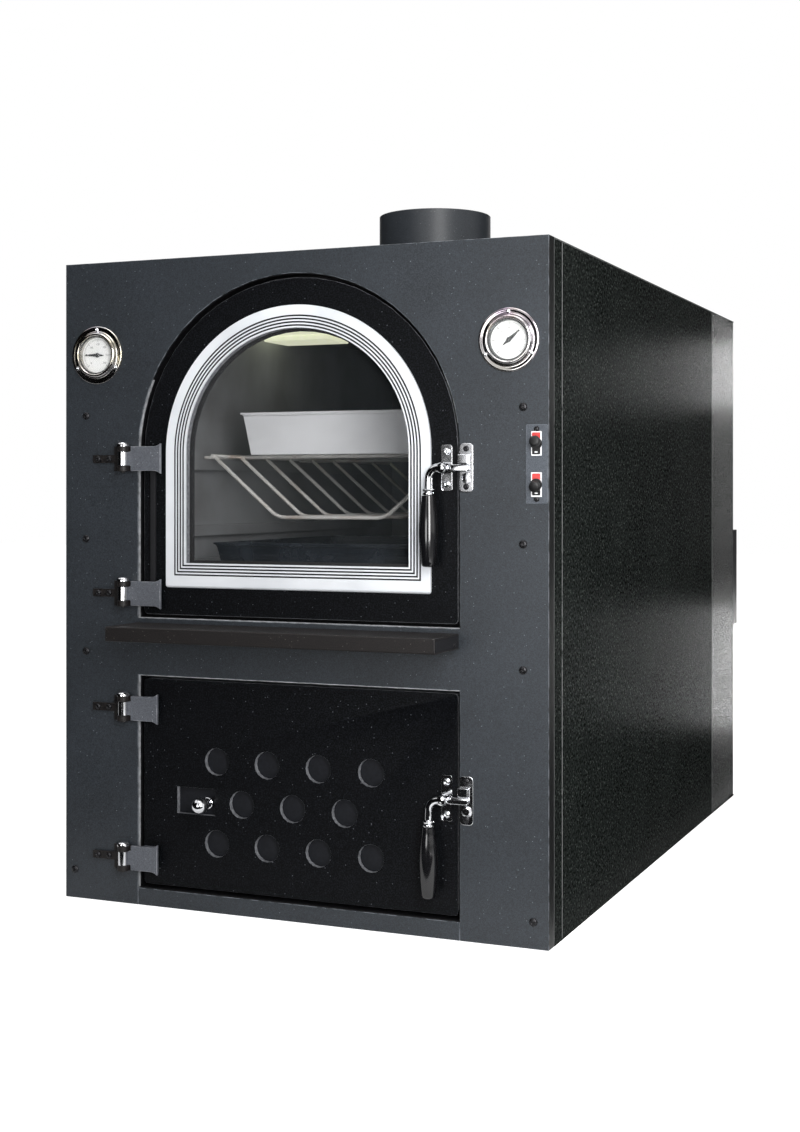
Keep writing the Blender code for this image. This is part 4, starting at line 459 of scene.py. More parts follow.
def zinc_highlight_and_shade_finish():
    """Zinc-coated sheet, dull grey with faint spangle, standing as a painted highlight on lit
    edges; its second colour is black, a painted shade.
    """
    zinc_highlight_and_shade = Finish("zinc_painted_highlight_and_shade", "raw_steel", {"Metallic": 0.2, "Specular IOR Level": 0.3})
    spangle = zinc_highlight_and_shade.noise(120, 2).between(0.3, 0.7)
    tone = zinc_highlight_and_shade.blend(spangle, shade(128, 130, 132), shade(176, 178, 182))
    zinc_highlight_and_shade.set({"Base Color": zinc_highlight_and_shade.blend(zinc_highlight_and_shade.mark("second"), tone, shade(14, 14, 16)),
              "Roughness": 0.38 + spangle * 0.15})
    return zinc_highlight_and_shade


def painted_shade_strip(face):
    """The low sill's strip, the right sides and the head of the arch, which take the black painted
    shade.
    """
    x, _, z = face.calc_center_median()
    return z < LOWER_SILL + 0.010 or z > ARCH_SPRING + 0.110 or x > OPENING_HALF - 0.004


zinc_highlight_and_shade = zinc_highlight_and_shade_finish()
edges = returns(RETURN_START, BARE_DEPTH)
mark_faces(edges, "second", painted_shade_strip)
piece("opening_edges", edges, zinc_highlight_and_shade, "casing")
rest = returns(RETURN_START + BARE_DEPTH + WELD, RETURN_DEPTH - BARE_DEPTH)
# All the deeper returns take the black painted shade.
mark_faces(rest, "second", lambda face: True)
piece("opening_returns", rest, zinc_highlight_and_shade, "casing")

# The flue spigot: a 200 mm steel tube welded to a ring inside, painted like the front. The stove
# pipe slides over its rolled lip.
FLUE_RADIUS = 0.1005
FLUE_WALL = 0.003
FLUE_FOOT = 0.9723
FLUE_TOP = 1.138
FLUE_Y = -0.063
FLUE_RING = 0.022
FLUE_RING_SHEET = 0.003
FLUE_LIP = 0.0010


def ring(bm, profile, at, direction, steps=96):
    """Spin a closed (radius, height) profile that stays clear of the axis."""
    turned(bm, profile + [profile[0]], at, direction, steps)


def shape(build, *how):
    """A new mesh with one shape in it."""
    bm = bmesh.new()
    build(bm, *how)
    return bm


inside = FLUE_RADIUS - FLUE_WALL
spigot = shape(ring, [(inside, FLUE_FOOT), (inside, FLUE_TOP - FLUE_LIP),
                      (inside + FLUE_LIP, FLUE_TOP), (FLUE_RADIUS - FLUE_LIP, FLUE_TOP),
                      (FLUE_RADIUS, FLUE_TOP - FLUE_LIP),
                      (FLUE_RADIUS, FLUE_FOOT + FLUE_RING_SHEET),
                      (FLUE_RADIUS + FLUE_RING, FLUE_FOOT + FLUE_RING_SHEET),
                      (FLUE_RADIUS + FLUE_RING, FLUE_FOOT)], (0, FLUE_Y, 0), UP)
flue_paint = speckled_paint("flue_stove_paint", "anthracite_paint", shade(28, 31, 35),
                            shade(58, 63, 69), shade(150, 152, 158),
                            {"Roughness": 0.40, "Specular IOR Level": 0.50}, 0.04)
piece("flue_spigot", spigot, flue_paint, "casing", ("flue_collar",))
seam = shape(ring, [(FLUE_RADIUS + FIT, 1.0001), (FLUE_RADIUS + 0.0050, 1.0001),
                    (FLUE_RADIUS + 0.0045, 1.0012), (FLUE_RADIUS + FIT, 1.0030)],
             (0, FLUE_Y, 0), UP)
piece("flue_seam", seam, flue_paint, "casing")

# The heat path: a smoke jacket round a welded oven chamber on a refractory slab, the brick-lined
# firebox with its cast grate, its table and the ash drawer, and wool behind them. Only the chamber
# shows through the glass. Its plain steel has darkened unevenly from the fires.


def fired_steel(name, cool, hot, roughness, metallic=0.35):
    """Mill steel with blue-brown heat tints, faint rolling lines and soot."""
    steel = Finish(name, "raw_steel", {"Metallic": metallic, "Specular IOR Level": 0.4})
    heat = steel.noise(7, 3).between(0.35, 0.70)
    lines = steel.noise(60, 2, (1, 9, 1))
    steel.set({"Base Color": steel.blend(heat, cool, hot),
               "Roughness": roughness + lines * 0.18})
    steel.bump(lines, 0.0001, 0.4)
    return steel


chamber_steel = fired_steel("chamber_steel", shade(154, 156, 158), shade(126, 125, 126), 0.42, 0.2)
dressed("oven_chamber", chamber_steel, "casing", 0.0005)
sooty_steel = fired_steel("sooty_steel", shade(52, 52, 54), shade(38, 34, 32), 0.5)
painted(sooty_steel, "smoke_jacket", "grate_table", "ash_drawer")


def grained(name, slot, constants, noise, tones, rough, bump=(), span=()):
    """One noise that blends two tones, varies the roughness and may raise the surface."""
    made = Finish(name, slot, constants)
    grain = made.noise(*noise)
    if span:
        grain = grain.between(*span)
    made.set({"Base Color": made.blend(grain, *tones), "Roughness": rough[0] + grain * rough[1]})
    if bump:
        made.bump(grain, *bump)
    return made


bulkhead_black = grained("bulkhead_black", "black_iron", {"Specular IOR Level": 0.2}, (500, 2),
                         (shade(20, 20, 22), shade(34, 34, 37)), (0.5, 0.2), (0.0001, 0.4))
painted(bulkhead_black, "front_bulkhead")


def firebrick_finish():
    """Buff refractory with grit, pits and smoke stains."""
    brick = Finish("firebrick", "firebrick", {"Specular IOR Level": 0.15})
    grit = brick.noise(420, 4)
    stain = brick.noise(8, 3).between(0.45, 0.75)
    tone = brick.blend(grit.between(0.3, 0.7), shade(176, 146, 104), shade(212, 188, 146))
    brick.set({"Base Color": brick.blend(stain * 0.6, tone, shade(74, 62, 52)),
               "Roughness": 0.85 + grit * 0.1})
    brick.bump(grit, 0.0008, 0.7)
    return brick


painted(firebrick_finish(), "hearth_slab", "firebrick_lining")


def grate_finish():
    """Sand-cast iron, rough and rust-tinged."""
    iron = Finish("grate_iron", "cast_iron", {"Metallic": 0.5, "Specular IOR Level": 0.3})
    sand = iron.noise(380, 4)
    rust = iron.noise(30, 3).between(0.5, 0.75)
    iron.set({"Base Color": iron.blend(rust * 0.5, shade(48, 46, 45), shade(94, 62, 42)),
              "Roughness": 0.6 + sand * 0.3})
    iron.bump(sand, 0.0005, 0.8)
    return iron


painted(grate_finish(), "fire_grate")
wool = grained("mineral_wool", "mineral_wool", {"Specular IOR Level": 0.1}, (260, 5, (1, 1, 3)),
               (shade(126, 116, 84), shade(206, 196, 152)), (0.95, -0.05), (0.002, 0.9))
painted(wool, "insulation_blanket")

# The shelf under the oven door: a ledge folded from 2.5 mm steel with closed ends, in black iron
# paint, hung on the front panel by two screws behind it. A black plug with a small screw closes
# each end.
SHELF_X = 0.2655
SHELF_TOP = 0.4385
PLUG = 0.0006


def rounded(x0, z0, x1, z1, radius, steps=5):
    """A rectangle with round corners."""
    return (arc((x1 - radius, z0 + radius), radius, -90, 0, steps)
            + arc((x1 - radius, z1 - radius), radius, 0, 90, steps)
            + arc((x0 + radius, z1 - radius), radius, 90, 180, steps)
            + arc((x0 + radius, z0 + radius), radius, 180, 270, steps))


def iron_paint(name, crowd=0.16):
    """Black paint on rough steel, with brownish grain and pale specks."""
    paint = Finish(name, "black_iron", {"Specular IOR Level": 0.30})
    grain = paint.noise(600, 3).between(0.35, 0.70)
    specks = paint.flecks(300, 0.20, crowd)
    tone = paint.blend(grain, shade(12, 11, 12), shade(34, 30, 29))
    tone = paint.blend(specks * 0.6, tone, shade(120, 116, 112))
    paint.set({"Base Color": paint.blend(paint.worn() * 0.45, tone, shade(110, 110, 112)),
               "Roughness": 0.38 + grain * 0.18})
    paint.bump(grain, 0.00015, 0.6)
    return paint


shelf_paint = iron_paint("shelf_iron_paint")
dressed("shelf", shelf_paint, "casing", 0.0014, 3)
screws("shelf_screws", screw_steel, "casing",
       [((side * (SHELF_X + PLUG), FRONT - 0.020, SHELF_TOP - 0.015), (side, 0, 0))
        for side in (-1, 1)], 0.0030, 0.0016)
plugs = bmesh.new()
end = rounded(FRONT - 0.0915, SHELF_TOP - 0.0195, FRONT - 0.0035, SHELF_TOP - 0.0025, 0.002)
for side in (-1, 1):
    plate(plugs, end, lambda y, z: (side * SHELF_X, y, z), (side * PLUG, 0, 0))
piece("shelf_end_plugs", plugs, bulkhead_black, "casing")

# The hinge brackets: four black iron feet with two ears each and a pressed-in pin. Two dome screws
# hold each foot to the panel. The pin's head is a chromed cap that stands over the upper ear.
UPPER_HINGES = (0.483, 0.692)
LOWER_HINGES = (0.073, 0.305)
BRACKETS = ("upper_bottom_bracket", "upper_top_bracket", "lower_bottom_bracket",
            "lower_top_bracket")
HINGE_X = -0.2865
HINGE_Y = -0.6525
BRACKET_FACE = -0.6443
BRACKET_LENGTH = 0.060
BRACKET_SCREW_SHARES = (0.17, 0.50)
PIN_HEAD = 0.0096
PIN_HEAD_FOOT = 0.0193
PIN_HEAD_RISE = 0.0072

bracket_paint = iron_paint("bracket_iron_paint", 0.05)
for name in BRACKETS:
    dressed(name, bracket_paint, "casing", 0.0008)


def chrome_finish(name, tint, roughness=0.07):
    """Polished plate with hairline scratches and a few dull spots."""
    chrome = Finish(name, "chrome", {"Metallic": 1.0})
    hair = chrome.noise(900, 2, (1, 1, 12))
    dull = chrome.noise(60, 3).between(0.55, 0.80)
    chrome.set({"Base Color": chrome.blend(dull * 0.35, tint, shade(150, 150, 154)),
                "Roughness": roughness + dull * 0.12 + hair * 0.04})
    chrome.bump(hair, 0.00002, 0.3)
    return chrome


chrome = chrome_finish("bright_chrome", shade(226, 227, 230))
caps = bmesh.new()
for height in UPPER_HINGES + LOWER_HINGES:
    turned(caps, [(0, 0), (PIN_HEAD, 0), (PIN_HEAD, 0.0026), (PIN_HEAD * 0.94, 0.0042),
                  (PIN_HEAD * 0.78, 0.0057), (PIN_HEAD * 0.45, 0.0068), (0, PIN_HEAD_RISE)],
           (HINGE_X, HINGE_Y, height + PIN_HEAD_FOOT), UP)
screws("bracket_screws", screw_steel, "casing",
       [((HINGE_X - BRACKET_LENGTH * (1 - share), BRACKET_FACE, height), FORWARD)
        for height in UPPER_HINGES + LOWER_HINGES for share in BRACKET_SCREW_SHARES],
       0.0046, 0.0036)
piece("hinge_pin_caps", caps, chrome, "casing", weighted=False)

# The oven door: a cast frame in black enamel with a round head. The frame is ground flat, dipped
# and fired, so it is nearly smooth, with tiny sparks in the glaze. Its rounded edges are painted
# paler all along as a highlight, with rubbed patches on top, and its lit walls take a painted
# highlight of pale iron grey.
DOOR_FACE = -0.631
RECESS_HALF = 0.191
ARCH_STEPS = 72
DOOR_EDGE = 0.0018


def enamel_finish():
    """Near-black enamel with tiny sparks and orange-peel skin, a painted highlight along every
    rounded edge with rubbed patches on it, and pale iron grey as a painted highlight on marked
    faces.
    """
    enamel = Finish("door_enamel", "black_enamel", {"Specular IOR Level": 0.09})
    skin = enamel.noise(260, 2)
    grain = enamel.noise(480, 2).between(0.46, 0.70)
    sparks = enamel.flecks(240, 0.22, 0.07)
    tone = enamel.blend(grain * 0.6, shade(3, 4, 5), shade(34, 36, 41))
    tone = enamel.blend(sparks * 0.5, tone, shade(120, 122, 130))
    # A quarter paler on every rounded edge is a painted highlight; the worn patches add rubbed
    # wear.
    lightening = enamel.mark("edge") * (0.25 + enamel.worn() * 0.35)
    tone = enamel.blend(lightening, tone, shade(150, 152, 158))
    # Faces marked second turn pale iron grey: a painted highlight where light catches walls and
    # edges.
    highlight_faces = enamel.mark("second")
    iron = enamel.blend(skin.between(0.3, 0.7), shade(92, 94, 98), shade(140, 142, 146))
    enamel.set({"Base Color": enamel.blend(highlight_faces * 0.85, tone, iron),
                "Roughness": 0.40 + skin * 0.10})
    enamel.bump(skin, 0.0001, 0.35)
    return enamel


def reveal(face):
    """The walls of the window's recess and the frame's right flank, which take the enamel's painted
    highlight.
    """
    middle = face.calc_center_median()
    across = math.hypot(middle.x, max(middle.z - ARCH_SPRING, 0))
    return abs(face.normal.y) < 0.3 and (across < RECESS_HALF or face.normal.x > 0.9)


door_enamel = enamel_finish()
dressed("upper_door_frame", door_enamel, "upper_door", DOOR_EDGE, 3, reveal)
rope = grained("gasket_rope", "gasket_rope", {"Specular IOR Level": 0.1}, (300, 2, (1, 2, 1)),
               (shade(120, 114, 104), shade(206, 200, 188)), (0.92, -0.05), (0.0010, 0.8))
painted(rope, "upper_gasket")
painted(sooty_steel, "glass_retainer")

# The window: a pane of heat-proof glass held from behind, and a bright trim pressed from steel in
# front of it. Four narrow channels, coloured near-black on their floors and walls, run round the
# trim between five raised bands, and the wide outer band has small round corners at its foot.
WINDOW_SILL = 0.531
TRIM_OUTER = 0.220
TRIM_FOOT = 0.493
TRIM_FACE = -0.6353
TRIM_BACK = -0.6313
TRIM_CORNER = 0.009
OUTER_BAND = 0.0148
CHANNEL = 0.0022
CHANNEL_DEPTH = 0.0014
CHANNEL_WALL = 0.00015
BAND = 0.0023
CHANNELS = 4


def arch_face(bm, half, sill, at):
    """A flat round-headed face that looks forward."""
    foot = bm.verts.new((half, at, sill))
    shoulder = bm.verts.new((half, at, ARCH_SPRING))
    bm.edges.new((foot, shoulder))
    grown = bmesh.ops.spin(bm, geom=[shoulder], cent=(0, at, ARCH_SPRING), axis=(0, -1, 0),
                           angle=math.pi, steps=ARCH_STEPS)
    far = [item for item in grown["geom_last"] if isinstance(item, bmesh.types.BMVert)][0]
    corner = bm.verts.new((-half, at, sill))
    bm.edges.new((far, corner))
    bm.edges.new((corner, foot))
    face = bmesh.ops.contextual_create(bm, geom=bm.edges[:])["faces"][0]
    face.normal_update()
    if face.normal.y > 0:
        face.normal_flip()
    return face


def inset(bm, face, thickness, depth=0.0):
    """Inset one face, which stays the inner one, and return the faces round it."""
    return bmesh.ops.inset_region(bm, faces=[face], thickness=thickness, depth=depth,
                                  use_even_offset=True, use_boundary=True)["faces"]


trim = bmesh.new()
black_line = trim.faces.layers.float.new("second")
middle = arch_face(trim, TRIM_OUTER, TRIM_FOOT, TRIM_FACE)
inset(trim, middle, OUTER_BAND)
lowest = min(vert.co.z for vert in middle.verts)
for vert in middle.verts:
    if vert.co.z < lowest + WELD:
        vert.co.z = WINDOW_SILL - (CHANNEL + 2 * CHANNEL_WALL + BAND) * CHANNELS
for _ in range(CHANNELS):
    sunk = inset(trim, middle, CHANNEL_WALL, -CHANNEL_DEPTH) + inset(trim, middle, CHANNEL)
    for face in sunk + inset(trim, middle, CHANNEL_WALL, CHANNEL_DEPTH):
        face[black_line] = 1.0
    inset(trim, middle, BAND)
bmesh.ops.delete(trim, geom=[middle], context="FACES")
rims = [edge for edge in trim.edges if edge.is_boundary]
grown = bmesh.ops.extrude_edge_only(trim, edges=rims)
moved = [item for item in grown["geom"] if isinstance(item, bmesh.types.BMVert)]
bmesh.ops.translate(trim, verts=moved, vec=(0, TRIM_BACK - TRIM_FACE, 0))
corners = [edge for edge in trim.edges
           if all(abs(abs(vert.co.x) - TRIM_OUTER) < WELD and abs(vert.co.z - TRIM_FOOT) < WELD
                  for vert in edge.verts)]
bmesh.ops.bevel(trim, geom=corners, offset=TRIM_CORNER, segments=6, profile=0.5, affect="EDGES",
                clamp_overlap=True, material=-1)
bmesh.ops.recalc_face_normals(trim, faces=trim.faces)


def satin_steel(name, pale, grey, roughness, metallic=1.0):
    """Bright satin steel with fine rolling marks."""
    steel = Finish(name, "bright_steel", {"Metallic": metallic})
    lines = steel.noise(300, 3, (1, 1, 8))
    smear = steel.noise(12, 2).between(0.4, 0.7)
    steel.set({"Base Color": steel.blend(smear * 0.6, pale, grey),
               "Roughness": roughness + lines * 0.12 + smear * 0.06})
    steel.bump(lines, 0.00004, 0.4)
    return steel


def trim_finish():
    """Bright rolled aluminium, coloured near-black in its channels."""
    metal = Finish("window_trim_metal", "bright_steel", {"Specular IOR Level": 0.5})
    lines = metal.noise(300, 3, (1, 1, 8))
    smear = metal.noise(12, 2).between(0.4, 0.7)
    black = metal.mark("second")
    tone = metal.blend(smear * 0.6, shade(230, 233, 237), shade(208, 212, 217))
    metal.set({"Base Color": metal.blend(black, tone, shade(14, 14, 18)),
               "Metallic": 0.2 - black * 0.2, "Roughness": 0.32 + lines * 0.12})
    metal.bump(lines, 0.00004, 0.4)
    return metal


trim_steel = trim_finish()
piece("window_trim_bands", trim, trim_steel, "upper_door", ("window_trim",), math.radians(28))


def glass_finish(name, tint, haze, film=0.0):
    """Clear glass with a trace of wiped-on haze."""
    glass = Finish(name, "glass", {"Base Color": tint, "Specular IOR Level": 0.5})
    smear = glass.noise(14, 3, (1, 1, 2)).between(0.45, 0.75)
    glass.set({"Alpha": haze + smear * film, "Roughness": 0.02 + smear * 0.06})
    return glass


painted(glass_finish("oven_glass", shade(60, 64, 66), 0.10, 0.02), "oven_glass")

# The hinge leaves: flat castings in grey paint that widen towards their free end, on a foot that is
# screwed to the door from behind. A narrow web, painted black, ties the oven door's two.
# Each leaf ends in an eye round the pin, with a chromed sleeve over it.
SLEEVE_RADIUS = 0.0078
SLEEVE_HEIGHT = 0.0218
LEAVES = {"upper_strap": ("upper_door", UPPER_HINGES, -0.2228),
          "lower_top_strap": ("lower_door", LOWER_HINGES[1:], -0.2285),
          "lower_bottom_strap": ("lower_door", LOWER_HINGES[:1], -0.2285)}
LEAF_LEFT = -0.2760
LEAF_FRONT = -0.648
LEAF_BACK = -0.643
LEAF_HALF = 0.0190
LEAF_FLARE = 0.0045
FLARE_RUN = 0.0120
EYE_HALF = 0.0109
EYE_RADIUS = 0.0068
FOOT_LEFT = -0.261
FOOT_RIGHT = -0.237
FOOT_BACK = -0.6313
WEB = (-0.248, -0.239)
WEB_RISE = 0.0045

casting = speckled_paint("casting_grey_paint", "grey_casting", shade(66, 69, 75),
                         shade(96, 99, 106), shade(206, 208, 212),
                         {"Roughness": 0.45, "Specular IOR Level": 0.40}, 0.10, 0.2)


def leaf_outline(height, right):
    """A leaf seen from the front: a flared end, straight sides and a tongue to the eye."""
    upper = [(LEAF_LEFT, height + EYE_HALF), (LEAF_LEFT, height + LEAF_HALF)]
    for step in range(9):
        share = step / 8
        upper.append((right - FLARE_RUN * (1 - share),
                      height + LEAF_HALF + LEAF_FLARE * share ** 2))
    lower = [(x, 2 * height - z) for x, z in reversed(upper)]
    return [(HINGE_X, height + EYE_HALF)] + upper + lower + [(HINGE_X, height - EYE_HALF)]


for node, (body, heights, right) in LEAVES.items():
    leaves = bmesh.new()
    for height in heights:
        plate(leaves, leaf_outline(height, right), lambda x, z: (x, LEAF_BACK, z),
              (0, LEAF_FRONT - LEAF_BACK, 0))
        plate(leaves, rounded(FOOT_LEFT, height - LEAF_HALF + 0.001, FOOT_RIGHT,
                              height + LEAF_HALF - 0.001, 0.003),
              lambda x, z: (x, FOOT_BACK, z), (0, LEAF_BACK - FOOT_BACK + FIT, 0))
    soften(leaves, 0.0009, 3)
    for height in heights:
        ring(leaves, [(0.0046, height - EYE_HALF), (EYE_RADIUS, height - EYE_HALF),
                      (EYE_RADIUS, height + EYE_HALF), (0.0046, height + EYE_HALF)],
             (HINGE_X, HINGE_Y, 0), UP, 40)
    piece(node + "_casting", leaves, casting, body, (node,), math.radians(40))
low, high = UPPER_HINGES
web = shape(plate, [(WEB[0], low), (WEB[1], low), (WEB[1], high), (WEB[0], high)],
            lambda x, z: (x, FOOT_BACK, z), (0, -WEB_RISE, 0))
soften(web, 0.0010)
piece("hinge_web", web, bulkhead_black, "upper_door")
for body, heights in (("upper_door", UPPER_HINGES), ("lower_door", LOWER_HINGES)):
    sleeves = bmesh.new()
    for height in heights:
        foot = height - SLEEVE_HEIGHT / 2
        head = foot + SLEEVE_HEIGHT
        ring(sleeves, [(SLEEVE_RADIUS - 0.0012, foot), (SLEEVE_RADIUS - 0.0004, foot),
                       (SLEEVE_RADIUS, foot + 0.0006), (SLEEVE_RADIUS, head - 0.0006),
                       (SLEEVE_RADIUS - 0.0004, head), (SLEEVE_RADIUS - 0.0012, head)],
             (HINGE_X, HINGE_Y, 0), UP, 40)
    piece(body + "_hinge_sleeves", sleeves, chrome, body, weighted=False)

# The latches: on each door a chromed plate with two screws, a chromed lever whose tongue lies over
# the keeper, and a turned grip of glossy black phenolic. The lever swells out of its hub, bends
# down and ends in a double ring above the grip.
LATCH_X = 0.2445
LATCHES = {"upper": 0.675, "lower": 0.201}
PLATE_FACE = -0.6343
LATCH_SCREW_RISE = 0.0235
HUB_FOOT = -0.6346
HUB_LENGTH = 0.0244
HUB_RADIUS = 0.0085
ARM_Y = -0.652
ELBOW_REACH = 0.0210
ELBOW_DROP = 0.0320
ELBOW_BEND = 0.0165
COLLAR_RADIUS = 0.0085
COLLAR_WAIST = 0.0062
RING = 0.0025
TONGUE_LOW = -0.0055
TONGUE_HIGH = 0.0045
TONGUE_BACK = -0.6436
TONGUE_FRONT = -0.6484
TONGUE_TIP = 0.2824
GRIP_LENGTH = 0.102
GRIP_RADIUS = 0.0140
GRIP_NECK = 0.0098
GRIP_SHARES = ((0.00, 0.00), (0.02, 0.05), (0.06, 0.10), (0.12, 0.26), (0.20, 0.53), (0.30, 0.79),
               (0.42, 0.96), (0.52, 1.00), (0.64, 0.91), (0.75, 0.71), (0.85, 0.48), (0.93, 0.24),
               (0.975, 0.02), (0.995, -0.45), (1.00, -0.90))


def bar(bm, points, radii, sides=6):
    """A round bar through points, with a radius at each."""
    curve = bpy.data.curves.new("bar", "CURVE")
    curve.dimensions = "3D"
    curve.bevel_depth = 1.0
    curve.bevel_resolution = sides
    curve.use_fill_caps = True
    spline = curve.splines.new("POLY")
    spline.points.add(len(points) - 1)
    for place, point, radius in zip(spline.points, points, radii):
        place.co = (*point, 1.0)
        place.radius = radius
    holder = bpy.data.objects.new("bar", curve)
    mesh = bpy.data.meshes.new_from_object(holder)
    new = bmesh.new()
    new.from_mesh(mesh)
    bpy.data.objects.remove(holder)
    bpy.data.meshes.remove(mesh)
    bmesh.ops.remove_doubles(new, verts=new.verts, dist=WELD / 4)
    bmesh.ops.recalc_face_normals(new, faces=new.faces)
    join(bm, new)


phenolic = grained("grip_phenolic", "black_plastic",
                   {"Specular IOR Level": 0.55, "Coat Weight": 0.3, "Coat Roughness": 0.05},
                   (120, 2, (1, 1, 6)), (shade(8, 8, 10), shade(20, 20, 22)), (0.10, 0.08))
for side, height in LATCHES.items():
    dressed(side + "_latch_plate", chrome, side + "_door", 0.0008)
    screws(side + "_latch_screws", chrome, side + "_door",
           [((LATCH_X, PLATE_FACE, height + rise), FORWARD)
            for rise in (-LATCH_SCREW_RISE, LATCH_SCREW_RISE)], 0.0052, 0.0034)

    lever = bmesh.new()
    turned(lever, [(0, -0.0115), (0.0049, -0.0115), (0.0049, 0), (HUB_RADIUS, 0),
                   (HUB_RADIUS, 0.0185), (HUB_RADIUS * 0.95, 0.0212), (HUB_RADIUS * 0.76, 0.0232),
                   (HUB_RADIUS * 0.40, 0.0242), (0, HUB_LENGTH)],
           (LATCH_X, HUB_FOOT, height), FORWARD, 40)
    elbow = [(LATCH_X + 0.0015, ARM_Y, height), (LATCH_X - 0.0020, ARM_Y, height)]
    bend = (LATCH_X - ELBOW_REACH + ELBOW_BEND, height - ELBOW_BEND)
    elbow += [(x, ARM_Y, z) for x, z in arc(bend, ELBOW_BEND, 90, 180, 12)]
    elbow += [(LATCH_X - ELBOW_REACH, ARM_Y, height - ELBOW_DROP * share) for share in (0.75, 1.0)]
    swell = [0.0078, 0.0072] + [0.0068 - 0.0016 * step / 12 for step in range(13)]
    bar(lever, elbow, swell + [0.0054, 0.0056])
    below = Vector((LATCH_X - ELBOW_REACH, ARM_Y, height - ELBOW_DROP))
    turned(lever, [(0, -RING), (COLLAR_WAIST, -RING), (COLLAR_RADIUS * 0.92, -RING * 0.7),
                   (COLLAR_RADIUS, 0), (COLLAR_RADIUS * 0.92, RING * 0.7), (COLLAR_WAIST, RING),
                   (COLLAR_WAIST, RING * 1.2), (COLLAR_RADIUS * 0.95, RING * 1.5),
                   (COLLAR_RADIUS, RING * 2.1), (COLLAR_RADIUS * 0.95, RING * 2.7),
                   (COLLAR_WAIST, RING * 3), (0, RING * 3)], below, -UP, 40)
    tongue = shape(plate, rounded(LATCH_X + 0.003, height + TONGUE_LOW, TONGUE_TIP,
                                  height + TONGUE_HIGH, 0.0045),
                   lambda x, z: (x, TONGUE_BACK, z), (0, TONGUE_FRONT - TONGUE_BACK, 0))
    soften(tongue, 0.0010, 3)
    join(lever, tongue)
    piece(side + "_lever_arm", lever, chrome, side + "_latch", (side + "_lever",), weighted=False)

    profile = [(0, 0)]
    for share, girth in GRIP_SHARES:
        profile.append((GRIP_NECK + (GRIP_RADIUS - GRIP_NECK) * girth, GRIP_LENGTH * share))
    profile.append((0, GRIP_LENGTH))
    grip = shape(turned, profile, below - UP * (3 * RING + FIT), -UP, 48)
    piece(side + "_grip_barrel", grip, phenolic, side + "_latch", (side + "_grip",),
          math.radians(40), False)

# The keepers: chromed catch plates on the casing, each with two low-headed screws, a stop that the
# latch's tongue comes up to and a faceted boss.
KEEPER_X = 0.2778
KEEPER_FACE = -0.6433
KEEPER_SCREW_RISE = 0.0270
for side, height in LATCHES.items():
    dressed(side + "_keeper", chrome, "casing", 0.0011, 3)
    screws(side + "_keeper_screws", screw_steel, "casing",
           [((KEEPER_X, KEEPER_FACE, height + rise), FORWARD)
            for rise in (-KEEPER_SCREW_RISE, KEEPER_SCREW_RISE)], 0.0044, 0.0020)
    boss = shape(turned, [(0, 0), (0.0086, 0), (0.0080, 0.0014), (0.0052, 0.0040), (0, 0.0044)],
                 (KEEPER_X + 0.0012, KEEPER_FACE + 0.0001, height - 0.0150), FORWARD, 8)
    piece(side + "_keeper_boss", boss, chrome, "casing", weighted=False, smooth=math.radians(20))

# The fire door: an enamelled steel plate with three rows of air holes, an air slide behind it in
# two guides, and a chromed ball knob that moves the slide through a slot in the plate.
KNOB_RADIUS = 0.0130
PLATE_HALF = 0.261
PLATE_CORNER = 0.007


def cut_edge(face):
    """The plate's top and right edges and the walls of its holes and slot."""
    middle = face.calc_center_median()
    inside = middle.x > 0.012 - PLATE_HALF and middle.z > 0.050
    return abs(face.normal.y) < 0.3 and middle.y < DOOR_FACE + 0.020 and inside


plate_skin = shell_of("lower_door_plate")
corners = [edge for edge in plate_skin.edges
           if all(vert.co.x > PLATE_HALF - WELD for vert in edge.verts)
           and abs(edge.verts[0].co.z - edge.verts[1].co.z) < WELD]
bmesh.ops.bevel(plate_skin, geom=corners, offset=PLATE_CORNER, segments=5, profile=0.5,
                affect="EDGES", clamp_overlap=True, material=-1)
# These faces take the enamel's pale iron grey, a painted highlight on the lit cut edges and hole
# walls.
mark_faces(plate_skin, "second", cut_edge)
soften(plate_skin, 0.0010)
piece("lower_door_plate_skin", plate_skin, door_enamel, "lower_door", ("lower_door_plate",),
      math.radians(50))
oxide = grained("air_slide_oxide", "black_enamel", {"Specular IOR Level": 0.15}, (200, 3),
                (shade(15, 16, 19), shade(28, 30, 35)), (0.5, 0.15), (0.0001, 0.4))
dressed("air_slide", oxide, "air_slide", 0.0005)
low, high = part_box("air_knob")
knob = bmesh.new()
centre = Vector(((low.x + high.x) / 2, low.y + KNOB_RADIUS, (low.z + high.z) / 2))
foot = high.y
reach = foot - low.y
ball = [(KNOB_RADIUS * math.sin(math.radians(angle)),
         reach - KNOB_RADIUS + KNOB_RADIUS * math.cos(math.radians(180 - angle)))
        for angle in range(20, 181, 10)]
turned(knob, [(0, 0), (0.0085, 0), (0.0085, 0.0120), (0.0088, 0.0126), (0.0088, 0.0164),
              (0.0080, 0.0170), (0.0046, 0.0170), (0.0046, 0.0195), (0.0068, 0.0198),
              (0.0068, 0.0225), (0.0044, 0.0228)] + ball[:-1] + [(0, reach)],
       (centre.x, foot, centre.z), FORWARD, 48)
piece("air_knob_ball", knob, chrome, "air_slide", ("air_knob",), weighted=False)

# The thermometers: stock flanged instruments with a chromed bezel on three screws, a white printed
# dial, a black pointer on a spindle and a clear glass. The left one reads the vault and the right
# one the flue gas.
GAUGE_Z = 0.855
GAUGE_X = 0.341
BEZEL_RADIUS = 0.0455
CUP_RADIUS = 0.0315
CUP_INNER = 0.0300
CUP_DEPTH = 0.018
BEZEL_RISE = 0.009
DIAL_DEPTH = 0.001
LUG_CIRCLE = 0.0400
LUG_ANGLES = (90, 210, 330)
DIAL_START = 225
DIAL_SWEEP = 270
DIAL_STEPS = 60
NUMBER_STEP = 10


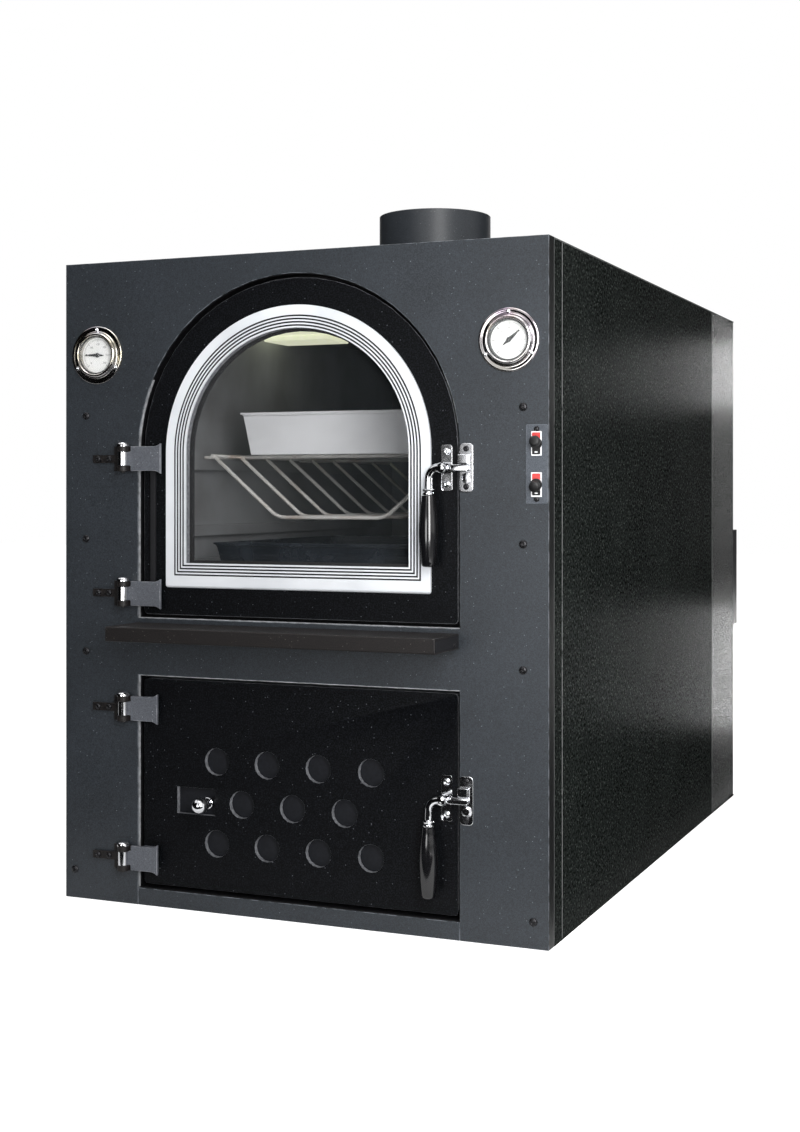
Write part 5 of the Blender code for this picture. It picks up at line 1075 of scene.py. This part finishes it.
def printed_ink(name, colour):
    """Screen-printed ink with slightly broken edges."""
    ink = Finish(name, "black_plastic", {"Specular IOR Level": 0.2})
    break_up = ink.noise(4000, 2)
    ink.set({"Base Color": ink.blend(break_up * 0.4, colour, shade(150, 150, 150)),
             "Roughness": 0.5 + break_up * 0.2})
    return ink


white_dial = grained("dial_white", "white_plastic", {"Specular IOR Level": 0.3}, (90, 2),
                     (shade(250, 250, 250), shade(236, 236, 232)), (0.35, 0.1))
ink = printed_ink("dial_ink", shade(40, 40, 44))


def bezel_finish():
    """Chrome that has taken bronze and violet heat tints."""
    metal = Finish("bezel_chrome", "chrome", {"Metallic": 1.0})
    heat = metal.noise(22, 2).between(0.35, 0.65)
    hair = metal.noise(900, 2, (1, 1, 12))
    warm = metal.blend(metal.noise(13).between(0.4, 0.6), shade(150, 142, 116),
                       shade(146, 128, 146))
    metal.set({"Base Color": metal.blend(heat * 0.8, shade(224, 222, 224), warm),
               "Roughness": 0.09 + hair * 0.06})
    metal.bump(hair, 0.00002, 0.3)
    return metal


bezel_chrome = bezel_finish()
gauge_glass = glass_finish("gauge_glass", shade(200, 204, 204), 0.06)


def number(bm, text, size, at, y):
    """Plain figures that lie flat on a dial."""
    curve = bpy.data.curves.new("figures", "FONT")
    curve.body = text
    curve.size = size
    curve.align_x = "CENTER"
    curve.align_y = "CENTER"
    curve.resolution_u = 2
    holder = bpy.data.objects.new("figures", curve)
    bpy.context.scene.collection.objects.link(holder)
    bpy.context.view_layer.update()
    graph = bpy.context.evaluated_depsgraph_get()
    mesh = bpy.data.meshes.new_from_object(holder.evaluated_get(graph))
    new = bmesh.new()
    new.from_mesh(mesh)
    bpy.data.objects.remove(holder)
    bpy.data.meshes.remove(mesh)
    place = Matrix.Translation((at[0], y, at[1])) @ Matrix.Rotation(math.pi / 2, 4, "X")
    bmesh.ops.transform(new, matrix=place, verts=new.verts)
    join(bm, new)


def dial_print(name, x, numbers, size, radius):
    """Ticks round the dial, and figures at the long ones."""
    prints = bmesh.new()
    y = FRONT + DIAL_DEPTH - 0.00025
    for step in range(DIAL_STEPS + 1):
        angle = math.radians(DIAL_START - DIAL_SWEEP * step / DIAL_STEPS)
        long = step % NUMBER_STEP == 0
        half = 0.00035 if long else 0.00018
        inner = radius * (0.82 if long else 0.89)
        along = Vector((math.cos(angle), math.sin(angle)))
        across = Vector((-along.y, along.x))
        corners = [along * inner - across * half, along * inner + across * half,
                   along * radius + across * half, along * radius - across * half]
        plate(prints, [(x + corner.x, GAUGE_Z + corner.y) for corner in corners],
              lambda u, v: (u, y, v), (0, -0.00005, 0))
        if long:
            at = along * radius * 0.66
            number(prints, str(numbers * step // NUMBER_STEP), size, (x + at.x, GAUGE_Z + at.y),
                   y - 0.00005)
    piece(name, prints, ink, "casing", weighted=False)


def gauge(side, sign, inner_finish):
    """One thermometer with its bezel, lugs and dial."""
    x = sign * GAUGE_X
    at = (x, FRONT, GAUGE_Z)
    case = bmesh.new()
    turned(case, [(0, -CUP_DEPTH), (CUP_RADIUS, -CUP_DEPTH), (CUP_RADIUS, FIT), (BEZEL_RADIUS, FIT),
                  (BEZEL_RADIUS, 0.0016), (BEZEL_RADIUS - 0.0006, 0.0026),
                  (BEZEL_RADIUS - 0.0020, 0.0032), (BEZEL_RADIUS - 0.0040, 0.0030),
                  (BEZEL_RADIUS - 0.0056, 0.0024), (0.0376, 0.0024), (0.0368, 0.0030),
                  (0.0360, 0.0046), (0.0350, 0.0070), (0.0338, 0.0084), (0.0326, BEZEL_RISE),
                  (0.0312, 0.0088), (0.0304, 0.0080), (CUP_INNER, 0.0066), (CUP_INNER, -DIAL_DEPTH),
                  (0, -DIAL_DEPTH)], at, FORWARD, 96)
    piece(side + "_gauge_bezel", case, bezel_chrome, "casing", (side + "_gauge_case",),
          math.radians(40), False)
    turns = [math.radians(angle) for angle in LUG_ANGLES]
    screws(side + "_gauge_lugs", chrome, "casing",
           [((x + LUG_CIRCLE * math.cos(turn), FRONT - 0.0024,
              GAUGE_Z + LUG_CIRCLE * math.sin(turn)), FORWARD) for turn in turns], 0.0030, 0.0018)
    edge = CUP_INNER - 0.0001
    face = shape(turned, [(0, 0), (edge, 0), (edge, 0.0002), (0, 0.0002)],
                 (x, FRONT + DIAL_DEPTH, GAUGE_Z), FORWARD, 96)
    piece(side + "_dial", face, white_dial, "casing", weighted=False)
    rim = shape(ring, [(CUP_INNER - 0.0003, 0.0006), (CUP_INNER - 0.0003, 0.0052),
                       (CUP_INNER - 0.0022, 0.0048), (CUP_INNER - 0.0030, 0.0010),
                       (CUP_INNER - 0.0020, 0.0006)], at, FORWARD, 96)
    piece(side + "_dial_rim", rim, inner_finish, "casing", weighted=False)


gauge("left", -1, bezel_chrome)
gauge("right", 1, phenolic)
dial_print("left_dial_print", -GAUGE_X, 50, 0.0042, 0.0262)
dial_print("right_dial_print", GAUGE_X, 100, 0.0036, 0.0256)
painted(gauge_glass, "left_gauge_glass", "right_gauge_glass")


def pointer(side, sign, turn, length, tail, width, tip):
    """A flat pointer with a boss, a thin tail and a shaped tip, turned clockwise from upright."""
    x = sign * GAUGE_X
    outline = [(-width / 2, 0), (-width * 0.30, -tail * 0.4), (-0.0003, -tail), (0.0003, -tail),
               (width * 0.30, -tail * 0.4), (width / 2, 0), (width * 0.28, length * 0.6),
               (0.0002, length), (-0.0002, length), (-width * 0.28, length * 0.6)]
    blade = shape(plate, outline, lambda u, v: (u, -0.0016, v), (0, -0.0005, 0))
    turned(blade, [(0, 0), (tip, 0), (tip, 0.0006), (0, 0.0006)], (0, -0.0016, length - tip),
           FORWARD, 24)
    turned(blade, [(0, 0), (0.0013, 0), (0.0013, 0.0010), (0.0036, 0.0012), (0.0036, 0.0026),
                   (0.0024, 0.0036), (0, 0.0038)], (0, 0, 0), FORWARD, 32)
    spin = Matrix.Translation((x, FRONT + DIAL_DEPTH, GAUGE_Z)) @ Matrix.Rotation(turn, 4, "Y")
    bmesh.ops.transform(blade, matrix=spin, verts=blade.verts)
    piece(side + "_pointer", blade, phenolic, side + "_needle", (side + "_needle",),
          weighted=False)


pointer("left", -1, math.radians(-88), 0.0220, 0.0120, 0.0052, 0.0016)
pointer("right", 1, math.radians(50), 0.0205, 0.0125, 0.0062, 0.0013)

# The switches: a painted plate with two toggle switches behind moulded white frames. Each frame
# goes round a black recess with a red insert at its head and a white tab at its foot, and a ribbed
# rubber boot covers the toggle. Two black dome screws hold the plate.
SWITCH_X = 0.3825
SWITCH_HEIGHTS = {"upper": 0.70825, "lower": 0.65075}
SWITCH_PLATE_FACE = -0.6418
SWITCH_TILTS = {"upper": math.radians(13), "lower": math.radians(-13)}
SWITCH_SCREWS = (0.7285, 0.6305)
BOOT_RIBS = 5
FRAME_WALL = 0.0017
FRAME_CORNER = 0.0016
INSERT_FOOT = 0.0106
dressed("switch_plate", speckled_paint("switch_plate_paint", "anthracite_paint", shade(52, 56, 62),
                                       shade(84, 90, 98), shade(150, 154, 162),
                                       {"Roughness": 0.45, "Specular IOR Level": 0.40}, 0.04, 0.3),
        "casing", 0.0006)
screws("switch_plate_screws", screw_steel, "casing",
       [((SWITCH_X, SWITCH_PLATE_FACE, height), FORWARD) for height in SWITCH_SCREWS],
       0.0040, 0.0026)


def moulding(name, slot, colour, shadow, roughness):
    """Moulded plastic with a fine matt skin and a little dirt."""
    plastic = Finish(name, slot, {"Specular IOR Level": 0.4})
    skin = plastic.noise(900, 2)
    dirt = plastic.noise(140, 2).between(0.5, 0.8)
    plastic.set({"Base Color": plastic.blend(dirt * 0.4, colour, shadow),
                 "Roughness": roughness + skin * 0.12})
    plastic.bump(skin, 0.00005, 0.4)
    return plastic


frame_white = moulding("switch_frame_white", "white_plastic", shade(226, 226, 228),
                       shade(150, 150, 152), 0.35)
insert_red = moulding("switch_insert_red", "white_plastic", shade(206, 62, 60),
                      shade(150, 40, 42), 0.3)
boot_rubber = moulding("boot_rubber", "black_plastic", shade(16, 16, 17), shade(40, 40, 42), 0.42)
for side, height in SWITCH_HEIGHTS.items():
    dressed(side + "_switch_body", frame_white, "casing", 0.0007)
    low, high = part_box(side + "_switch_body")
    left = low.x + FRAME_WALL
    right = high.x - FRAME_WALL
    split = high.z - INSERT_FOOT
    recess = shape(plate, rounded(left, low.z + 0.0020, right, split, FRAME_CORNER),
                   lambda x, z: (x, low.y + 0.0002, z), (0, -0.0004, 0))
    piece(side + "_switch_recess", recess, boot_rubber, "casing")
    insert = shape(plate, rounded(left, split, right, high.z - 0.0018, FRAME_CORNER),
                   lambda x, z: (x, low.y + 0.0002, z), (0, -0.0006, 0))
    soften(insert, 0.0002)
    piece(side + "_switch_insert", insert, insert_red, "casing")
    tab = shape(plate, rounded(SWITCH_X - 0.0022, low.z + 0.0042, SWITCH_X + 0.0022,
                               low.z + 0.0062, 0.0008),
                lambda x, z: (x, low.y - 0.0001, z), (0, -0.0006, 0))
    piece(side + "_switch_tab", tab, frame_white, "casing")
    collar = shape(ring, [(0.0050, -0.0001), (0.0086, -0.0001), (0.0086, 0.0009),
                          (0.0080, 0.0015), (0.0050, 0.0015)],
                   (SWITCH_X, low.y - 0.0002, height), FORWARD, 40)
    piece(side + "_boot_collar", collar, boot_rubber, "casing", weighted=False)
    tilt = SWITCH_TILTS[side]
    direction = Vector((0, -math.cos(tilt), math.sin(tilt)))
    pivot = (SWITCH_X, low.y + 0.0050, height)
    profile = [(0, -0.004), (0.003, -0.004), (0.0045, 0), (0.0030, 0.005), (0.0055, 0.0073),
               (0.0079, 0.0090)]
    for rib in range(BOOT_RIBS):
        foot = 0.0090 + rib * 0.00080
        profile += [(0.0080, foot + 0.0002), (0.0080, foot + 0.0005), (0.0074, foot + 0.0007)]
    profile += [(0.0079, 0.0134), (0.0077, 0.0148), (0.0064, 0.0162), (0.0048, 0.0170), (0, 0.0170)]
    boot = shape(turned, profile, pivot, direction, 40)
    piece(side + "_boot", boot, boot_rubber, side + "_toggle", (side + "_toggle",), weighted=False)

# The convection fan: a pressed rotor with eight blades behind a perforated bright guard, and its
# motor in the rear space. Plain zinc-grey steel.
fan_steel = fired_steel("fan_steel", shade(120, 120, 122), shade(92, 88, 84), 0.38, 0.8)
painted(fan_steel, "fan_impeller", "fan_motor")
guard_steel = satin_steel("guard_steel", shade(200, 200, 204), shade(150, 146, 142), 0.30)
dressed("fan_guard", guard_steel, "casing", 0.0004)

# The oven lamp: a shallow box in the vault's left corner with a ribbed, frosted glass, lit warm.


def lamp_glass():
    """Frosted glass, cream with the bulb's light behind it."""
    glass = Finish("lamp_glass", "clear_lamp_glass", {"Specular IOR Level": 0.5,
                                                      "Emission Strength": 0.9})
    frost = glass.noise(90, 2)
    warm = glass.blend(frost, shade(238, 240, 214), shade(214, 218, 186))
    glass.set({"Base Color": warm, "Emission Color": warm, "Roughness": 0.35 + frost * 0.1})
    glass.bump(frost, 0.0003, 0.4)
    return glass


dressed("oven_lamp", lamp_glass(), "casing", 0.0015, 3)

# The cradle rack: nine bright wires bent to a trough and welded under two side wires and two cross
# wires, which rest on the chamber's upper rails. The wire is bright drawn steel, tinted by heat.
WIRE = 0.0030
CHAMBER_HALF = 0.285
RACK_HALF = 0.208
RACK_FOOT = 0.093
RACK_NEAR = -0.5061
RACK_RUN = 0.720
RACK_WIRES = 9
RACK_TOP = 0.6983
RACK_BOTTOM = 0.6003
RACK_CROSS_SHARES = (0.14, 0.64)
RACK_BEND = 0.014


def bent(points, radius, steps=6):
    """A chain of points with its inner corners rounded off."""
    path = [Vector(points[0])]
    for before, corner, after in zip(points, points[1:], points[2:]):
        corner = Vector(corner)
        start = corner + (Vector(before) - corner).normalized() * radius
        end = corner + (Vector(after) - corner).normalized() * radius
        for step in range(steps + 1):
            share = step / steps
            path.append(start.lerp(corner, share).lerp(corner.lerp(end, share), share))
    path.append(Vector(points[-1]))
    return path


def wire_finish():
    """Drawn wire, bright with straw and brown heat tints."""
    wire = Finish("rack_wire", "bright_steel", {"Metallic": 0.3})
    heat = wire.noise(18, 3).between(0.45, 0.75)
    hair = wire.noise(700, 2)
    wire.set({"Base Color": wire.blend(heat * 0.6, shade(232, 230, 226), shade(160, 128, 100)),
              "Roughness": 0.20 + hair * 0.12})
    return wire


rack = bmesh.new()
for side in (-1, 1):
    path = [(side * RACK_HALF, RACK_NEAR - 2 * WIRE, RACK_TOP),
            (side * RACK_HALF, RACK_NEAR + RACK_RUN + 2 * WIRE, RACK_TOP)]
    bar(rack, path, (WIRE, WIRE), 3)
reach = CHAMBER_HALF - 0.0035
for share in RACK_CROSS_SHARES:
    y = RACK_NEAR + share * RACK_RUN
    bar(rack, [(-reach, y, RACK_TOP), (reach, y, RACK_TOP)], (WIRE, WIRE), 3)
for wire in range(RACK_WIRES):
    y = RACK_NEAR + wire * RACK_RUN / (RACK_WIRES - 1)
    path = bent([(-RACK_HALF, y, RACK_TOP), (-RACK_FOOT, y, RACK_BOTTOM),
                 (RACK_FOOT, y, RACK_BOTTOM), (RACK_HALF, y, RACK_TOP)], RACK_BEND)
    bar(rack, path, [WIRE] * len(path), 3)
piece("rack_wires", rack, wire_finish(), "wire_rack", ("wire_rack",), weighted=False)

# The pans: a bright roasting pan that stands on the rack, and a low enamelled drip tray on the
# chamber floor. Both are pressed sheet with sloping sides and a rim rolled over a wire.
PAN_RIM = 0.0030
pan_steel = satin_steel("pan_steel", shade(246, 247, 250), shade(226, 227, 230), 0.34, 0.1)
tray_enamel = grained("tray_enamel", "black_enamel", {"Specular IOR Level": 0.55}, (22, 3),
                      (shade(14, 18, 24), shade(34, 40, 48)), (0.12, 0.25), (0.0002, 0.3),
                      (0.35, 0.75))
for node, finish in (("roasting_pan", pan_steel), ("floor_tray", tray_enamel)):
    dressed(node, finish, node, 0.0005)
    low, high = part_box(node)
    top = high.z - PAN_RIM
    x = high.x - PAN_RIM
    near = low.y + PAN_RIM
    far = high.y - PAN_RIM
    corners = [(0, near, top), (x, near, top), (x, far, top), (-x, far, top), (-x, near, top),
               (0, near, top)]
    path = bent(corners, 0.006)
    rim = bmesh.new()
    bar(rim, path, [PAN_RIM] * len(path), 4)
    piece(node + "_rim", rim, finish, node, weighted=False)

# The terminal box: a moulded black cover over the mains terminals, with a three-pin inlet and two
# screws each in its top and its bottom.
BOX_SCREW_INSET = 0.010
INLET_PINS = ((-0.0070, 0.0), (0.0, 0.0025), (0.0070, 0.0))
box_plastic = moulding("terminal_box_plastic", "black_plastic", shade(26, 26, 28),
                       shade(48, 48, 50), 0.4)
dressed("terminal_box", box_plastic, "casing", 0.0020, 3)
low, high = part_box("terminal_box")
screws("terminal_box_screws", screw_steel, "casing",
       [((x, low.y + BOX_SCREW_INSET, z), direction)
        for x in (low.x + BOX_SCREW_INSET, high.x - BOX_SCREW_INSET)
        for z, direction in ((high.z, UP), (low.z, -UP))], 0.0036, 0.0018)
pins = bmesh.new()
middle = (low + high) / 2
for x, z in INLET_PINS:
    plate(pins, rounded(middle.x + x - 0.0010, middle.z + z - 0.0020, middle.x + x + 0.0010,
                        middle.z + z + 0.0020, 0.0004), lambda u, v: (u, high.y - 0.0130, v),
          (0, 0.0100, 0))
piece("inlet_pins", pins, chrome, "casing", weighted=False)

# The studio: a white floor and white surroundings, a tall soft light close by at the right of the
# front and one overhead. Black cloths stand and lie where the front, the side and the chrome would
# mirror white, and three lit cards give the front's right half its sheen and the back corner its
# highlights. Only shiny surfaces see the cloths and the cards.
FLOOR_HALF = 14.0
FLOOR_DROP = 0.0010
EVEN_LEVEL = 0.24
FLOOR_LIFT = 0.84


def upright(left, right, y, low, high):
    """The corners of a wall across the studio."""
    return (left, y, low), (right, y, low), (right, y, high), (left, y, high)


def lying(left, right, near, far, z=0.0):
    """The corners of a sheet on the ground."""
    return (left, near, z), (right, near, z), (right, far, z), (left, far, z)


CLOTHS = {"left_front_cloth": upright(-7.0, -0.98, -4.0, 0.0, 4.0),
          "left_back_cloth": ((-5.0, -4.0, 0.0), (-5.0, 5.0, 0.0), (-5.0, 5.0, 4.0),
                              (-5.0, -4.0, 4.0)),
          "camera_cloth": upright(0.5, 4.0, -4.4, 0.0, 4.0),
          "right_back_cloth": upright(0.70, 6.0, 3.2, 0.0, 4.0),
          "right_floor_cloth": lying(0.44, 6.0, -0.6, 3.2),
          "front_floor_cloth": lying(-6.0, 1.2, -4.0, -0.9)}
CARDS = {"front_card": (6.5, upright(-0.70, 0.45, -4.0, 0.1, 1.0)),
         "high_card": (30.0, upright(0.515, 0.56, 1.2, 0.85, 1.01)),
         "low_card": (30.0, upright(0.515, 0.55, 1.2, 0.06, 0.36))}


def paper_finish():
    """Matt white paper, which the camera sees a little brighter than it is lit."""
    paper = Finish("studio_floor", "white_plastic", {"Specular IOR Level": 0.0, "Roughness": 0.9,
                                                     "Emission Strength": 1.0})
    grain = paper.noise(3, 2)
    seen = paper.node("ShaderNodeLightPath", {}, {}, "Is Camera Ray")
    lift = paper.blend(seen, (0.0, 0.0, 0.0, 1.0), (FLOOR_LIFT, FLOOR_LIFT, FLOOR_LIFT, 1.0))
    paper.set({"Base Color": paper.blend(grain, shade(250, 250, 250), shade(254, 254, 254)),
               "Emission Color": lift})
    return paper


def cloth_finish():
    """Black studio cloth."""
    cloth = Finish("black_cloth", "black_plastic", {"Specular IOR Level": 0.0, "Roughness": 1.0})
    weave = cloth.noise(200, 2)
    cloth.set({"Base Color": cloth.blend(weave, shade(14, 14, 15), shade(26, 26, 27))})
    return cloth


def card_finish(name, level):
    """A diffusing card with a lamp behind it."""
    glow = Finish(name, "white_plastic", {"Roughness": 1.0, "Emission Strength": level})
    grain = glow.noise(20, 2)
    glow.set({"Emission Color": glow.blend(grain, shade(240, 240, 240), shade(255, 255, 255))})
    return glow


def card(name, corners, finish):
    """A flat stage piece through four corners."""
    mesh = bpy.data.meshes.new(name)
    mesh.from_pydata(corners, [], [(0, 1, 2, 3)])
    mesh.materials.append(finish.material)
    made = bpy.data.objects.new(name, mesh)
    bpy.context.scene.collection.objects.link(made)
    return made


card("floor", lying(-FLOOR_HALF, FLOOR_HALF, -FLOOR_HALF, FLOOR_HALF, -FLOOR_DROP),
     paper_finish())
cloth = cloth_finish()
hidden = [card(name, corners, cloth) for name, corners in CLOTHS.items()]
for name, (level, corners) in CARDS.items():
    hidden.append(card(name, corners, card_finish(name + "_glow", level)))
for made in hidden:
    made.visible_camera = False
    made.visible_diffuse = False
    made.visible_transmission = False
    made.visible_shadow = False


def softbox(name, at, towards, width, height, power):
    """A rectangular soft light that looks at a point."""
    lamp = bpy.data.lights.new(name, "AREA")
    lamp.shape = "RECTANGLE"
    lamp.size = width
    lamp.size_y = height
    lamp.energy = power
    holder = bpy.data.objects.new(name, lamp)
    holder.location = at
    aim = Vector(towards) - Vector(at)
    holder.rotation_euler = aim.to_track_quat("-Z", "Y").to_euler()
    bpy.context.scene.collection.objects.link(holder)


softbox("key_light", (1.15, -2.0, 1.0), (0.3, -0.6, 0.5), 0.6, 1.4, 42)
softbox("top_light", (0.2, -0.9, 3.4), (0, -0.4, 0.6), 2.2, 2.2, 46)

world = bpy.data.worlds.new("white_studio")
world.use_nodes = True
tree = world.node_tree
paths = tree.nodes.new("ShaderNodeLightPath")
level = tree.nodes["Background"].inputs["Strength"]
for ray in ("Is Camera Ray", "Is Glossy Ray", "Is Transmission Ray"):
    most = tree.nodes.new("ShaderNodeMath")
    most.operation = "MAXIMUM"
    most.inputs[0].default_value = EVEN_LEVEL
    tree.links.new(paths.outputs[ray], most.inputs[1])
    tree.links.new(most.outputs[0], level)
    level = most.inputs[0]
tree.nodes["Background"].inputs["Color"].default_value = (1.0, 1.0, 1.0, 1.0)
bpy.context.scene.world = world

camera = bpy.data.cameras.new("camera")
camera.lens = 52.23
camera.sensor_width = 36.0
camera.shift_y = -0.0655
view = bpy.data.objects.new("camera", camera)
view.location = (1.0987, -2.8315, 0.6406)
view.rotation_euler = (math.radians(90), 0, math.radians(22.87))
bpy.context.scene.collection.objects.link(view)
bpy.context.scene.camera = view
bpy.context.scene.view_settings.view_transform = "Standard"
